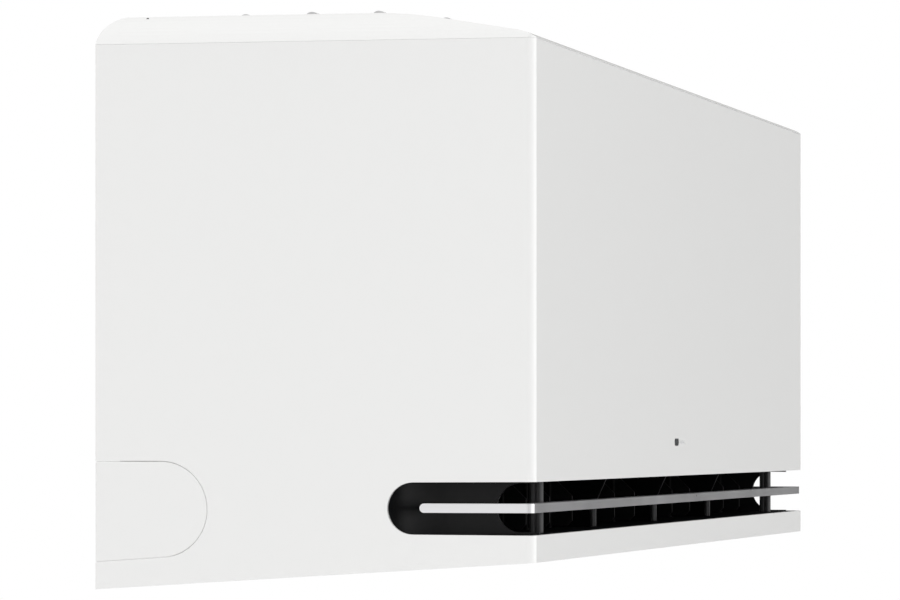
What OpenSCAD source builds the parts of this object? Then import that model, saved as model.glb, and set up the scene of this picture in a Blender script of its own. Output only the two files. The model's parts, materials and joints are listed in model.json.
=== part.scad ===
// Wall-hung indoor unit of a split air conditioner: a white casing with one air slot
// that runs across the front and wraps round both sides, with a silver louvre in it.
// Origin: centre of the wall plate's four corner screws, on the wall.
// +X runs to the right as seen from the room, +Y into the wall, +Z up. Millimetres.

/* [Casing] */
// Width of the casing, side to side
body_w = 890; // [880:1:900]
// Depth of the casing, wall to front
body_d = 235; // [234:1:238]
// Height of the casing, lowest edge to the flat of the top
body_h = 300; // [300:1:304]
// Wall thickness of the white mouldings
wall = 2.5; // [2:0.1:3]
// Height of the sloped band between the side walls and the flat of the top
band_h = 15; // [14:0.5:16]
// Rise of the underside from the wall to the front
base_rise = 15; // [12:0.5:16]
// Radius of the two upright front corners
corner_r = 5; // [4:0.5:6]

/* [Air slot and louvre] */
// Height of the air slot
slot_h = 27.6; // [27:0.1:29]
// Height of the slot's lower edge above the lowest edge of the casing
slot_up = 29; // [28.6:0.1:29.4]
// Distance that the slot runs back along each side
slot_back = 78.3; // [74:0.1:80]
// Thickness of the silver louvre
louvre_t = 4.8; // [3.6:0.1:4.8]
// Distance from the front to the louvre's pivots
louvre_pivot = 57; // [55:0.5:58]
// Blades in each of the two banks
blades = 6; // [5:1:6]

/* [Fan and coil] */
// Radius of the cross-flow fan
fan_r = 50; // [46:1:50]
// Number of vanes round the fan
fan_vanes = 30; // [24:1:36]
// Thickness of each coil slab
coil_t = 26; // [22:1:26]

/* [Wall plate] */
// Distance between the left and right wall screws
screw_x = 450; // [400:10:480]
// Distance between the upper and lower wall screws
screw_z = 120; // [110:1:124]
// Radius of the wall screw holes
screw_hole_r = 2.75; // [2.5:0.05:3]

/* [Hidden] */
$fn = 48;
side_list = ["left", "right"];
blade_names = [for (s = side_list) for (i = [1:blades]) str("swing_blade_", s, "_", i)];

half_w = body_w / 2;
front_y = -body_d;
base_z = -body_h / 2;
top_z = body_h / 2;
crease_z = top_z - band_h;
lip_z = base_z + base_rise;
gap = 0.4;                        // seam between neighbouring mouldings

slot_z0 = base_z + slot_up;
slot_z1 = slot_z0 + slot_h;
slot_mid = (slot_z0 + slot_z1) / 2;
slot_end_y = front_y + slot_back - slot_h / 2;   // centre of the slot's round ends
slot_end_r = slot_h / 2 - 0.3;     // the slot narrows a little towards its round ends

// Flat of the top ends here, then a long arc, then a straight slope down to the front.
flat_end = front_y + 88.5;
slope_a = 9.8;
slope_r = 205;
slope_start = flat_end - slope_r * sin(slope_a);
slope_start_z = top_z - slope_r * (1 - cos(slope_a));
front_round = 10;                 // depth of the rounded front edge of the top
rear_round = 14;                  // depth of the rounded back edge of the top
crease_gap = 0.06;                // seam between the casing and the top cover
port_gap = 0.2;                   // seam round the pipe covers

// Air filters: two, side by side in the top.
filter_x0 = 5;
filter_x1 = half_w - 23;
filter_y0 = front_y + 34;
filter_y1 = -31;
filter_gap = 0.6;
rail_pitch = 36;
rail_r = 4;
rail_w = 7;
rail_ups = [1.3, 2.3, 2.35, 1.75, 0.95];
rails = [for (i = [0:4]) front_y + 52.6 + i * rail_pitch];

// Pipe openings, one in each side by the wall.
port_r = 25.3;
port_y = -35.5;
port_top = base_z + 67.2;
port_low = base_z + 14;

// Air duct behind the slot.
liner_t = 2;
cheek_in = 35.5;                  // cheek face, in from the casing's side
cheek_x = half_w - cheek_in;
cove_r = cheek_in - wall;
cove_y = front_y + 45;
notch_y = front_y + 28.7 - slot_h / 2;           // centre of the cheek's round notch
duct_back = front_y + 85;
upper_back = front_y + 69;
post_x = half_w - 70;
post_y = front_y + 10.3;
post_d = 7;
rib_y = front_y + 18.7;
rib_x = 0.21 * body_w;

// Swing blades.
blade_pitch = 62.4;
blade_y = front_y + 39;
crank_r = 18;
blade_t = 1.6;
blade_pin_r = 1.4;
link_pin_r = 1.2;
running = 0.06;                   // radial clearance of every turning fit

// Louvre.
pivot_y = front_y + louvre_pivot;
louvre_tail = 1.7;                 // how far the arms run on behind the pivots
louvre_mid = slot_mid + 0.2;
pin_r = 1.95;
louvre_in = 1;                    // louvre face, in from the casing's face
louvre_w = 8;

// Fan.
fan_y = front_y + 130;
fan_z = base_z + 110;
fan_x0 = -370;
fan_x1 = 300;
shaft_r = 4;
left_wall_x = -384.5;
right_wall_x = 312;
scroll_r0 = fan_r + 6;
scroll_start = 60;
scroll_t = 2.5;
duct_floor = slot_z0;
scroll_end_r = fan_z - duct_floor;

coil_x0 = -388;
coil_x1 = 320;
tube_r = 3.5;
tube_pitch = 21;
row_gap = 13;

plate_t = 1.2;
back_y = -11.5;

// --- shared shapes ---

// Extrudes a (y, z) outline along X.
module along_x(x0, x1) {
    translate([x0, 0, 0]) rotate([90, 0, 90]) linear_extrude(x1 - x0) children();
}

// Extrudes an (x, z) outline along Y.
module along_y(y0, y1) {
    translate([0, y1, 0]) rotate([90, 0, 0]) linear_extrude(y1 - y0) children();
}

// Extrudes an (x, y) outline along Z.
module along_z(z0, z1) {
    translate([0, 0, z0]) linear_extrude(z1 - z0) children();
}

module block(a, b) {
    translate(a) cube(b - a);
}

module rod_x(x0, x1, y, z, r) {
    translate([x0, y, z]) rotate([0, 90, 0]) cylinder(r = r, h = x1 - x0);
}

module rod_y(y0, y1, x, z, r) {
    translate([x, y0, z]) rotate([-90, 0, 0]) cylinder(r = r, h = y1 - y0);
}

module rod_z(z0, z1, x, y, r) {
    translate([x, y, z0]) cylinder(r = r, h = z1 - z0);
}

// Draws its children once at each side of the unit.
module both_sides() {
    children();
    mirror([1, 0, 0]) children();
}

// Draws its children on one named side; they are modelled on the right.
module on_side(name) {
    if (name == "left") mirror([1, 0, 0]) children();
    else children();
}

// Points of an arc from p to q that bulges to the left of p-q, moved inwards by inset.
function arc_between(p, q, sweep, n, inset = 0) =
    let (chord = norm(q - p),
         r = chord / 2 / sin(sweep / 2),
         u = (q - p) / chord,
         c = (p + q) / 2 + [u[1], -u[0]] * r * cos(sweep / 2),
         a0 = atan2(p[1] - c[1], p[0] - c[0]))
    [for (i = [0:n]) let (a = a0 - sweep * i / n) c + (r - inset) * [cos(a), sin(a)]];

// Height of the casing's top above a distance y from the wall.
function top_at(y) =
    y >= flat_end ? top_z
    : y >= slope_start ? top_z - slope_r + sqrt(slope_r * slope_r - pow(flat_end - y, 2))
    : slope_start_z - (slope_start - y) * tan(slope_a);

// Places along the top where its outline needs a point, between y0 and y1.
function top_stops(y0, y1) =
    concat([y0], [for (i = [5:-1:0]) let (y = flat_end - (flat_end - slope_start) * i / 5)
        if (y > y0 && y < y1) y], [y1]);

// A sheet that follows the top, from depth d0 to depth d1 below it.
module top_sheet(y0, y1, d0, d1) {
    stops = top_stops(y0, y1);
    polygon(concat(
        [for (y = stops) [y, top_at(y) - d0]],
        [for (i = [len(stops) - 1:-1:0]) [stops[i], top_at(stops[i]) - d1]]));
}

// Plan of the casing, moved inwards by t; the inside runs out past the wall.
module plan(t = 0) {
    r = corner_r - t;
    back = t > 0 ? 1 : 0;
    translate([-half_w + t, front_y + t + r]) square([body_w - 2 * t, body_d - t - r + back]);
    translate([-half_w + t + r, front_y + t]) square([body_w - 2 * t - 2 * r, r + 1]);
    for (s = [-1, 1]) translate([s * (half_w - t - r), front_y + t + r]) circle(r);
}

// --- white mouldings ---

module casing_side(t = 0) {
    back = t > 0 ? 1 : 0;
    rise = base_rise / body_d;
    polygon([[back, base_z + t - back * rise], [front_y + t, lip_z + t - t * rise],
             [front_y + t, crease_z - crease_gap / 2 + back], [back, crease_z - crease_gap / 2 + back]]);
}

module slot_cut() {
    along_x(-half_w - 1, half_w + 1) {
        polygon([[front_y - 1, slot_z0], [slot_end_y, slot_mid - slot_end_r], [slot_end_y,
            slot_mid + slot_end_r],
                 [front_y - 1, slot_z1]]);
        translate([slot_end_y, slot_mid]) circle(slot_end_r);
    }
}

// Outline of the pipe opening in (y, z), made smaller by t.
module port_outline(t = 0) {
    mid = port_top - port_r;
    tilt = atan2(base_rise, body_d);
    translate([port_y, mid]) circle(port_r - t);
    polygon([[port_y, port_top - t], [0, port_top - t], [0, port_low + t],
             [port_y - (port_r - t) * sin(tilt), mid - (port_r - t) * cos(tilt)]]);
}

window_at = [-34, base_z + 76.4];
window_l = 15;
window_h = 4.4;
light_r = 1.3;
light_xs = [14, 19, 24];
button_at = [380, front_y + 30];
button_r = 4;
screw_xs = [-300, 0, 300];
screw_y = front_y + 24;

// Height of the underside at a distance y from the wall.
function base_at(y) = base_z + base_rise * -y / body_d;

module pill_xz(x, z, l, h) {
    translate([x, z]) {
        square([l - h, h], center = true);
        for (s = [-1, 1]) translate([s * (l - h) / 2, 0]) circle(h / 2);
    }
}

boss_top = slot_z0 - liner_t - 2.2;

module front_casing() {
    color("white") difference() {
        union() {
            difference() {
                intersection() {
                    along_z(base_z - 1, crease_z) plan();
                    along_x(-half_w, half_w) casing_side();
                }
                intersection() {
                    along_z(base_z - 1, crease_z + 1) plan(wall);
                    along_x(-half_w, half_w) casing_side(wall);
                }
                // open underside at the back, where the pipes leave
                block([-half_w + 30, -34, base_z - 1], [half_w - 30, 1, base_z + 20]);
            }
            for (x = screw_xs) rod_z(base_at(screw_y) + 1, boss_top, x, screw_y, 7);
            rod_z(base_at(button_at[1]) + 1, base_at(button_at[1]) + 7, button_at[0], button_at[1], 7);
        }
        slot_cut();
        both_sides() along_x(half_w - wall - 1, half_w + 1) port_outline();
        along_y(front_y - 1, front_y + wall + 1) {
            pill_xz(window_at[0], window_at[1], window_l, window_h);
            for (x = light_xs) translate([window_at[0] + x, window_at[1]]) circle(light_r);
        }
        for (x = screw_xs) {
            rod_z(base_z - 1, base_at(screw_y) + 5, x, screw_y, 4.6);
            rod_z(base_z - 1, boss_top + 1, x, screw_y, 2.2);
        }
        rod_z(base_z - 1, base_z + 40, button_at[0], button_at[1], button_r + 0.3);
    }
}

// Side outline of the top cover, moved inwards by t.
module cover_side(t = 0) {
    low = crease_z + crease_gap / 2 - (t > 0 ? 1 : 0);
    rear = arc_between([-rear_round, top_z], [0, crease_z + 0.3], 74, 8, t);
    edge = arc_between([front_y, crease_z + 0.5], [front_y + front_round,
        top_at(front_y + front_round)], 28, 6, t);
    front = [for (p = edge) if (t == 0 || (p[0] > front_y + t + 0.1 && p[1] > low + 0.1)) p];
    crown = [for (y = [slope_start, slope_start + 12, slope_start + 24, flat_end]) [y, top_at(y) - t]];
    polygon(concat([[front_y + t, low]], front, crown, rear, [[0, low]]));
}

// End outline of the top cover in (x, z), moved inwards by t.
module cover_end(t = 0) {
    low = crease_z + crease_gap / 2 - (t > 0 ? 1 : 0);
    edge = arc_between([half_w - 12, top_z], [half_w, crease_z + 0.3], 40, 8, t);
    right = concat(edge, [[half_w - t, low]]);
    left = [for (i = [len(right) - 1:-1:0]) [-right[i][0], right[i][1]]];
    polygon(concat(right, left));
}

grid_top = 4.6;
grid_low = 8;
rim_t = 2;

module filter_seat(x0, x1) {
    difference() {
        along_x(x0 - rim_t, x1 + rim_t) top_sheet(filter_y0 - rim_t, filter_y1 + rim_t, 1, grid_low);
        along_x(x0, x1) top_sheet(filter_y0, filter_y1, 0, grid_low + 1);
    }
    difference() {
        along_x(x0 - 1, x1 + 1) top_sheet(filter_y0 - 1, filter_y1 + 1, grid_top, grid_low);
        along_x(x0 + 5, x1 - 5) top_sheet(filter_y0 + 5, filter_y1 - 5, grid_top - 1, grid_low + 1);
    }
    bars = 6;
    for (i = [1:bars]) let (x = x0 + (x1 - x0) * i / (bars + 1))
        along_x(x - 1, x + 1) top_sheet(filter_y0, filter_y1, grid_top, grid_low);
    for (y = rails)
        block([x0 - 1, y - 1, top_at(y) - grid_low], [x1 + 1, y + 1, top_at(y) - grid_top]);
}

module top_cover() {
    color("white") {
        difference() {
            intersection() {
                along_x(-half_w, half_w) cover_side();
                along_y(front_y, 0) cover_end();
                along_z(crease_z, top_z + 1) plan();
            }
            intersection() {
                along_x(-half_w, half_w) cover_side(wall);
                along_y(front_y, 1) cover_end(wall);
                along_z(crease_z - 1, top_z + 1) plan(wall);
            }
            both_sides() along_x(filter_x0, filter_x1) top_sheet(filter_y0, filter_y1, -5, wall + 5);
        }
        both_sides() filter_seat(filter_x0, filter_x1);
        // tabs that locate the cover inside the casing
        for (x = [-300, -100, 100, 300])
            block([x - 8, front_y + wall + 0.3, crease_z - 8], [x + 8, front_y + wall + 2.3,
                crease_z + 2]);
        both_sides() for (y = [-180, -70])
            block([half_w - wall - 2.3, y - 8, crease_z - 8], [half_w - wall - 0.3, y + 8, crease_z + 2]);
    }
}

module air_filter(side) {
    x0 = filter_x0 + filter_gap;
    x1 = filter_x1 - filter_gap;
    y0 = filter_y0 + filter_gap;
    y1 = filter_y1 - filter_gap;
    ribs = 11;
    color("#a6a8a8") on_side(side) {
        difference() {
            along_x(x0, x1) top_sheet(y0, y1, 0, 4.2);
            along_x(x0 + 7, x1 - 7) top_sheet(y0 + 7, y1 - 7, -1, 5);
        }
        for (i = [0:len(rails) - 1]) let (y = rails[i]) intersection() {
            rod_x(x0 + 2, x1 - 2, y, top_at(y) + rail_ups[i] - rail_r, rail_r);
            block([x0 + 1, y - rail_w / 2, top_at(y) - 4], [x1 - 1, y + rail_w / 2, top_at(y) + 3]);
        }
        for (i = [1:ribs]) let (x = x0 + (x1 - x0) * i / (ribs + 1))
            along_x(x - 0.8, x + 0.8) top_sheet(y0 + 6, y1 - 6, 1, 4.2);
        along_x(x0 + 5, x1 - 5) top_sheet(y0 + 5, y1 - 5, 2.2, 3);
        // finger tab at the front edge
        block([(x0 + x1) / 2 - 15, y0 + 1, top_at(y0) - 1], [(x0 + x1) / 2 + 15, y0 + 6,
            top_at(y0) + 3.4]);
    }
}

module pipe_cover(side) {
    color("white") on_side(side) {
        along_x(half_w - wall, half_w) port_outline(port_gap);
        // two spring tongues behind the plate hold it in the opening
        for (z = [port_top - 8, port_low + 8])
            block([half_w - wall - 6, port_y + 4, z - 1.5], [half_w - wall, port_y + 24, z + 1.5]);
    }
}

module receiver_window() {
    color("#2b2f36") along_y(front_y + 0.2, front_y + wall)
        pill_xz(window_at[0], window_at[1], window_l - 0.3, window_h - 0.3);
}

module status_lights() {
    color("#cfd6dc") for (x = light_xs)
        rod_y(front_y + 0.1, front_y + wall + 1, window_at[0] + x, window_at[1], light_r - 0.1);
}

module display_board() {
    color("#1f6b3b") block([window_at[0] - 14, front_y + wall + 1.4, window_at[1] - 8],
                           [window_at[0] + 34, front_y + wall + 3, window_at[1] + 8]);
}

// --- slot, louvre and swing blades ---

module louvre_plan(t) {
    r = corner_r - 1;
    x = half_w - louvre_in - t;
    y = front_y + louvre_in + t;
    translate([-x, y + r]) square([2 * x, pivot_y + louvre_tail - y - r + t]);
    translate([-x + r, y]) square([2 * x - 2 * r, r + 1]);
    for (s = [-1, 1]) translate([s * (x - r), y + r]) circle(r);
}

module wrap_louvre() {
    h = louvre_t / 2;
    color("silver") {
        along_z(louvre_mid - h, louvre_mid + h) difference() {
            louvre_plan(0);
            louvre_plan(louvre_w);
        }
        both_sides() rod_x(half_w - louvre_in - louvre_w, half_w - louvre_in, pivot_y + louvre_tail,
            louvre_mid, h);
    }
}

module louvre_pins() {
    color("lightgrey") both_sides()
        rod_x(cheek_x - 6, half_w - louvre_in - louvre_w, pivot_y, slot_mid, pin_r);
}

module stepper(x0, x1, y, z, r) {
    rod_x(x0, x1, y, z, r);
    block([x0 + 1, y - r - 4, z - 3], [x0 + 3, y + r + 4, z + 3]);
}

module louvre_motor() {
    color("lightgrey") stepper(cheek_x - 28, cheek_x - 9, pivot_y, slot_mid, 12);
}

module blade_hole(x, r) {
    rod_z(slot_z0 - liner_t - 1, slot_z1 + liner_t + 1, x, blade_y, r);
}

module cheek() {
    difference() {
        union() {
            // concave wall from the side of the casing to the straight part
            along_z(slot_z0, slot_z1) intersection() {
                translate([half_w - wall, cove_y]) difference() {
                    circle(cove_r + 2.5);
                    circle(cove_r);
                }
                translate([cheek_x - 4, cove_y]) square([cheek_in - wall + 3.5, cove_r + 4]);
            }
            block([cheek_x - 2.5, front_y + 5, slot_z0], [cheek_x, cove_y, slot_z1]);
            difference() {
                rod_x(cheek_x - 8, cheek_x + 3, pivot_y, slot_mid, 5.5);
                rod_z(slot_z0 - 1, slot_z1 + 1, half_w - wall, cove_y, cove_r);
            }
        }
        block([cheek_x - 4, front_y, slot_z0 + 1], [cheek_x + 1, notch_y, slot_z1 - 1]);
        rod_x(cheek_x - 4, cheek_x + 1, notch_y, slot_mid, slot_h / 2 - 1);
        rod_x(cheek_x - 10, cheek_x + 10, pivot_y, slot_mid, pin_r + running);
    }
}

function blade_x(i) = blade_pitch * (i - 0.5);

// Floor or ceiling of the duct, from the casing's front back to y.
module duct_panel(z, y) {
    along_z(z, z + liner_t) intersection() {
        plan(wall + 0.5);
        translate([-half_w, front_y]) square([body_w, y - front_y]);
    }
}

module duct_cheeks() {
    color("#161719") both_sides() cheek();
}

// Slim upright post with cut corners and a groove in the middle of each end face.
module end_post() {
    w = 3;
    c = 1.1;
    y0 = post_y;
    y1 = post_y + post_d;
    difference() {
        along_z(slot_z0, slot_z1) translate([post_x, 0])
            polygon([[c - w, y0], [w - c, y0], [w, y0 + c], [w, y1 - c], [w - c, y1], [c - w, y1], [-w,
                y1 - c],
                     [-w, y0 + c]]);
        for (px = [post_x - w, post_x + w])
            block([px - 0.8, post_y + post_d / 2 - 0.4, slot_z0 - 1], [px + 0.8, post_y + post_d / 2 + 0.4,
                slot_z1 + 1]);
    }
}

// Upright posts and ribs that hold the duct's floor and ceiling apart.
module duct_ribs() {
    color("#242527") {
        both_sides() end_post();
        for (rx = [-rib_x, 0, rib_x]) along_x(rx - 1.3, rx + 1.3)
            polygon([[rib_y, slot_z0], [rib_y, slot_mid], [rib_y - 6.3, slot_z1],
                     [front_y + 46, slot_z1], [front_y + 46, slot_z0]]);
    }
}

module outlet_frame() {
    color("#161719") {
        difference() {
            union() {
                duct_panel(slot_z0 - liner_t, duct_back);
                duct_panel(slot_z1, upper_back - 3);
                for (sx = screw_xs) rod_z(boss_top + 0.2, slot_z0 - 0.5, sx, screw_y, 5);
            }
            both_sides() for (i = [1:blades]) blade_hole(blade_x(i), blade_pin_r + running);
            for (sx = screw_xs) rod_z(boss_top - 1, slot_z0 - 0.6, sx, screw_y, 1.95);
        }
        // closes the duct behind the blades beyond each end of the fan
        block([right_wall_x + 3, upper_back - 4.5, slot_z0 - 0.5], [post_x, upper_back - 2.5,
            slot_z1 + 0.5]);
    }
}

module swing_blade(side, i) {
    x = blade_x(i);
    z0 = slot_z0 + 1;
    z1 = slot_z1 - 1;
    color("#26282b") on_side(side) {
        along_x(x - blade_t / 2, x + blade_t / 2)
            polygon([[blade_y - 13, z0 + 3], [blade_y - 10, z0], [blade_y + 12, z0], [blade_y + 12,
                slot_mid - 3],
                     [blade_y + crank_r + 2, slot_mid - 3], [blade_y + crank_r + 2, slot_mid + 1],
                     [blade_y + 12, slot_mid + 1], [blade_y + 12, z1], [blade_y - 4, z1],
                         [blade_y - 13, slot_mid + 4]]);
        rod_z(slot_z0 - 1.6, slot_z1 + 1.6, x, blade_y, blade_pin_r);
        rod_z(slot_mid + 0.5, slot_mid + 5, x, blade_y + crank_r, link_pin_r);
    }
}

module link_bar(side) {
    first = blade_x(1);
    last = blade_x(blades);
    color("#26282b") on_side(side) difference() {
        block([first - 5, blade_y + crank_r - 3, slot_mid + 1.5], [last + 5, blade_y + crank_r + 3,
            slot_mid + 3.5]);
        for (i = [1:blades]) rod_z(slot_mid, slot_mid + 5, blade_x(i), blade_y + crank_r,
            link_pin_r + running);
    }
}

module swing_motors() {
    color("lightgrey") both_sides() {
        rod_z(slot_z1 + liner_t + 0.4, slot_z1 + liner_t + 3.6, blade_x(blades), blade_y, 11);
        block([blade_x(blades) - 17, blade_y - 3.5, slot_z1 + liner_t + 0.4],
              [blade_x(blades) + 17, blade_y + 3.5, slot_z1 + liner_t + 1.6]);
    }
}

// --- chassis, drain and fan ---

function scroll_r(a) = scroll_r0 + (scroll_end_r - scroll_r0) * (scroll_start - a) / (scroll_start + 90);

module scroll_band() {
    steps = [for (i = [0:15]) scroll_start - (scroll_start + 90) * i / 15];
    translate([fan_y, fan_z]) polygon(concat(
        [for (a = steps) scroll_r(a) * [cos(a), sin(a)]],
        [for (i = [15:-1:0]) (scroll_r(steps[i]) + scroll_t) * [cos(steps[i]), sin(steps[i])]]));
    // flat floor of the duct
    translate([duct_back + 0.4, duct_floor - scroll_t]) square([fan_y - duct_back, scroll_t]);
}

gutter_y = fan_y + scroll_r0 * cos(scroll_start);
gutter_z = fan_z + scroll_r0 * sin(scroll_start);

module rear_gutter() {
    polygon([[gutter_y - 1, gutter_z - 0.5], [gutter_y + 18, gutter_z + 14], [back_y - 2.5,
        gutter_z + 14],
             [back_y - 2.5, gutter_z + 11.5], [gutter_y + 19, gutter_z + 11.5], [gutter_y + 1.5,
                 gutter_z - 2]]);
    translate([gutter_y + 16, gutter_z + 13]) square([2.5, 9]);
}

module fan_wall(x0, x1) {
    along_x(x0, x1) polygon(concat(
        [[back_y - 1, gutter_z + 12], [back_y - 1, bay_z + 2]],
        [for (a = [-37:-13:-89]) [fan_y, fan_z] + (scroll_r(a) + scroll_t + 2) * [cos(a), sin(a)]],
        [[duct_back + 3, duct_floor - scroll_t - 2], [duct_back + 3, fan_z - 20], [fan_y - 49,
            fan_z + 30],
         [fan_y - 20, fan_z + 66], [gutter_y, gutter_z + 14]]));
}

bearing_r = 14;
motor_hole_r = 16;
hook_xs = [-220, 0, 220];
bay_z = base_z + 62;

module fan_scroll() {
    color("#e4e4e0") along_x(left_wall_x, right_wall_x) {
        scroll_band();
        rear_gutter();
    }
}

module rear_chassis() {
    color("#e4e4e0") difference() {
        union() {
            difference() {
                block([-half_w + 6, back_y - 2.5, base_z + 28], [half_w - 6, back_y, crease_z - 6]);
                // pipe bay: the lower back is open to the wall
                block([-half_w, back_y - 3, base_z + 27], [half_w, back_y + 1, bay_z]);
                for (x = hook_xs) block([x - 17, back_y - 3, 88], [x + 17, back_y + 1, 98]);
            }
            fan_wall(left_wall_x - 2.5, left_wall_x);
            fan_wall(right_wall_x, right_wall_x + 2.5);
        }
        rod_x(left_wall_x - 4, left_wall_x + 1, fan_y, fan_z, bearing_r);
        rod_x(right_wall_x - 1, right_wall_x + 4, fan_y, fan_z, motor_hole_r);
    }
}

tray_x0 = -392;
tray_x1 = 340;
tray_z = slot_z1 + liner_t + 6;

module drain_tray() {
    tongue_y = fan_y - 51.5;
    t = 2;
    color("#e4e4e0") difference() {
        along_x(tray_x0, tray_x1) {
            polygon([[tongue_y, fan_z - 18], [upper_back, slot_z1 + 0.6], [upper_back - 2.4,
                slot_z1 + liner_t + 0.4],
                     [upper_back - 14, tray_z - t], [front_y + 7, tray_z - t], [front_y + 7,
                         tray_z + 24], [front_y + 9, tray_z + 24],
                     [front_y + 9, tray_z], [upper_back - 8, tray_z], [tongue_y - 6, fan_z - 18]]);
        }
        rod_x(tray_x0 - 1, tray_x0 + 1.9, front_y + 14, tray_z + 5, 5);
    }
    // end walls of the tray
    color("#e4e4e0") for (x = [tray_x0, tray_x1 - 2]) difference() {
        along_x(x, x + 2) polygon([[front_y + 8, tray_z - 1], [front_y + 8, tray_z + 18],
                                   [upper_back - 4, tray_z + 18], [upper_back - 7, tray_z - 1]]);
        rod_x(x - 1, x + 3, drain_y, drain_z, 5);
    }
    // spigots for the drain hose, one at each end
    color("#e4e4e0") for (e = [[tray_x0 - 14, tray_x0 + 0.5], [tray_x1 - 0.5,
        tray_x1 + 14]]) difference() {
        rod_x(e[0], e[1], drain_y, drain_z, 7);
        rod_x(e[0] - 1, e[1] + 1, drain_y, drain_z, 5);
    }
}

drain_y = front_y + 40;
drain_z = tray_z + 8.5;
hose_r = 9;
hose_in = 7.1;
hose_bend = 16;
drain_end_z = base_z + 25;
drain_end_x = -330;

// A quarter bend of tube in the XY plane; the tube arrives along X at the origin.
module bend(r, ro, ri) {
    rotate_extrude(angle = 90) translate([r, 0]) difference() {
        circle(ro);
        circle(ri);
    }
}

module hose_stretch(a, b) {
    // one straight stretch of the drain pipe, between two points on its middle line
    d = b - a;
    translate(a) rotate([0, acos(d[2] / norm(d)), atan2(d[1], d[0])]) difference() {
        cylinder(r = hose_r, h = norm(d));
        translate([0, 0, -1]) cylinder(r = hose_in, h = norm(d) + 2);
    }
}

module drain_pipe() {
    x = tray_x0 - 16;
    turn_x = x - hose_bend;
    rear = -48;
    b = hose_bend;
    color("#d9d9d4") {
        hose_stretch([x, drain_y, drain_z], [tray_x0 - 1, drain_y, drain_z]);
        translate([x, drain_y + b, drain_z]) rotate([0, 0, 180]) bend(b, hose_r, hose_in);
        hose_stretch([turn_x, drain_y + b, drain_z], [turn_x, rear - b, drain_z]);
        translate([turn_x, rear - b, drain_z - b]) rotate([0, -90, 180]) mirror([0, 1, 0])
            bend(b, hose_r, hose_in);
        hose_stretch([turn_x, rear, drain_end_z + b], [turn_x, rear, drain_z - b]);
        translate([turn_x + b, rear, drain_end_z + b]) rotate([90, 0, 0]) rotate([0, 0, 180])
            bend(b, hose_r, hose_in);
        hose_stretch([turn_x + b, rear, drain_end_z], [drain_end_x, rear, drain_end_z]);
    }
}

module drain_plug() {
    color("#2b2d30") {
        difference() {
            rod_x(tray_x1 + 2, tray_x1 + 17, drain_y, drain_z, 9);
            rod_x(tray_x1 + 1, tray_x1 + 14.2, drain_y, drain_z, 7.05);
        }
    }
}

module crossflow_fan() {
    discs = 8;
    step = (fan_x1 - fan_x0 - 3) / discs;
    color("#3c4046") translate([0, fan_y, fan_z]) {
        along_x(fan_x0 + 1, fan_x1 - 1) for (i = [0:fan_vanes - 1]) rotate(i * 360 / fan_vanes)
            polygon([[fan_r - 12, 0.4], [fan_r - 8.5, -2.4], [fan_r - 4.5, -4.2], [fan_r - 0.8, -4.9],
                     [fan_r - 0.8, -3.9], [fan_r - 4.7, -3], [fan_r - 8.2, -1.2], [fan_r - 11.2, 1.2]]);
        for (i = [1:discs - 1]) let (x = fan_x0 + 1.5 + step * i) difference() {
            rod_x(x - 0.9, x + 0.9, 0, 0, fan_r);
            rod_x(x - 2, x + 2, 0, 0, fan_r - 13);
        }
        rod_x(fan_x0, fan_x0 + 2, 0, 0, fan_r);
        difference() {
            union() {
                rod_x(fan_x1 - 2, fan_x1, 0, 0, fan_r);
                rod_x(fan_x1 - 26, fan_x1 - 1, 0, 0, 11);
            }
            rod_x(fan_x1 - 24, fan_x1 + 1, 0, 0, shaft_r);
        }
    }
}

module fan_shaft() {
    color("silver") {
        rod_x(fan_x0 - 22, fan_x0, fan_y, fan_z, shaft_r);
        rod_x(fan_x1 - 23.9, right_wall_x + 16, fan_y, fan_z, shaft_r);
    }
}

module fan_bearing() {
    color("#b08d57") difference() {
        rod_x(left_wall_x - 9, left_wall_x + 4, fan_y, fan_z, 8);
        rod_x(left_wall_x - 10, left_wall_x + 5, fan_y, fan_z, shaft_r + 0.04);
    }
}

module bearing_mount() {
    color("#2b2d30") difference() {
        union() {
            rod_x(left_wall_x - 7, left_wall_x + 3, fan_y, fan_z, bearing_r - 0.1);
            rod_x(left_wall_x - 7, left_wall_x - 2.7, fan_y, fan_z, bearing_r + 4);
        }
        rod_x(left_wall_x - 8, left_wall_x + 4, fan_y, fan_z, 8.05);
    }
}

motor_x0 = right_wall_x + 5;
motor_r = 40;

module fan_motor() {
    color("#dcdcd6") difference() {
        union() {
            rod_x(motor_x0, motor_x0 + 42, fan_y, fan_z, motor_r);
            rod_x(motor_x0 + 42, motor_x0 + 48, fan_y, fan_z, 18);
            rod_x(motor_x0 - 4, motor_x0, fan_y, fan_z, 14);
        }
        rod_x(motor_x0 - 5, motor_x0 + 12, fan_y, fan_z, shaft_r + 0.04);
    }
}

module motor_clamp() {
    x0 = motor_x0 + 12;
    color("#c9ccce") difference() {
        union() {
            rod_x(x0, x0 + 16, fan_y, fan_z, motor_r + 3);
            block([x0, fan_y, fan_z - 3], [x0 + 16, back_y - 3, fan_z + 3]);
        }
        rod_x(x0 - 1, x0 + 17, fan_y, fan_z, motor_r + 0.3);
    }
}

// --- coil and pipes ---

// Each slab: centre of its lower end, lean from upright towards the wall, length.
slab_low = [front_y + 34, tray_z + 2];
slabs = [[slab_low, 0, 112], [[front_y + 36.5, tray_z + 132], -47, 98], [[fan_y + 60, fan_z + 88], 38,
    96]];

module on_slab(k) {
    translate([0, slabs[k][0][0], slabs[k][0][1]]) rotate([slabs[k][1], 0, 0]) children();
}

module coil_slab(k) {
    color("#b9bec3") on_slab(k)
        block([coil_x0 + 1.6, -coil_t / 2, 0], [coil_x1 - 1.6, coil_t / 2, slabs[k][2]]);
}

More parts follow.
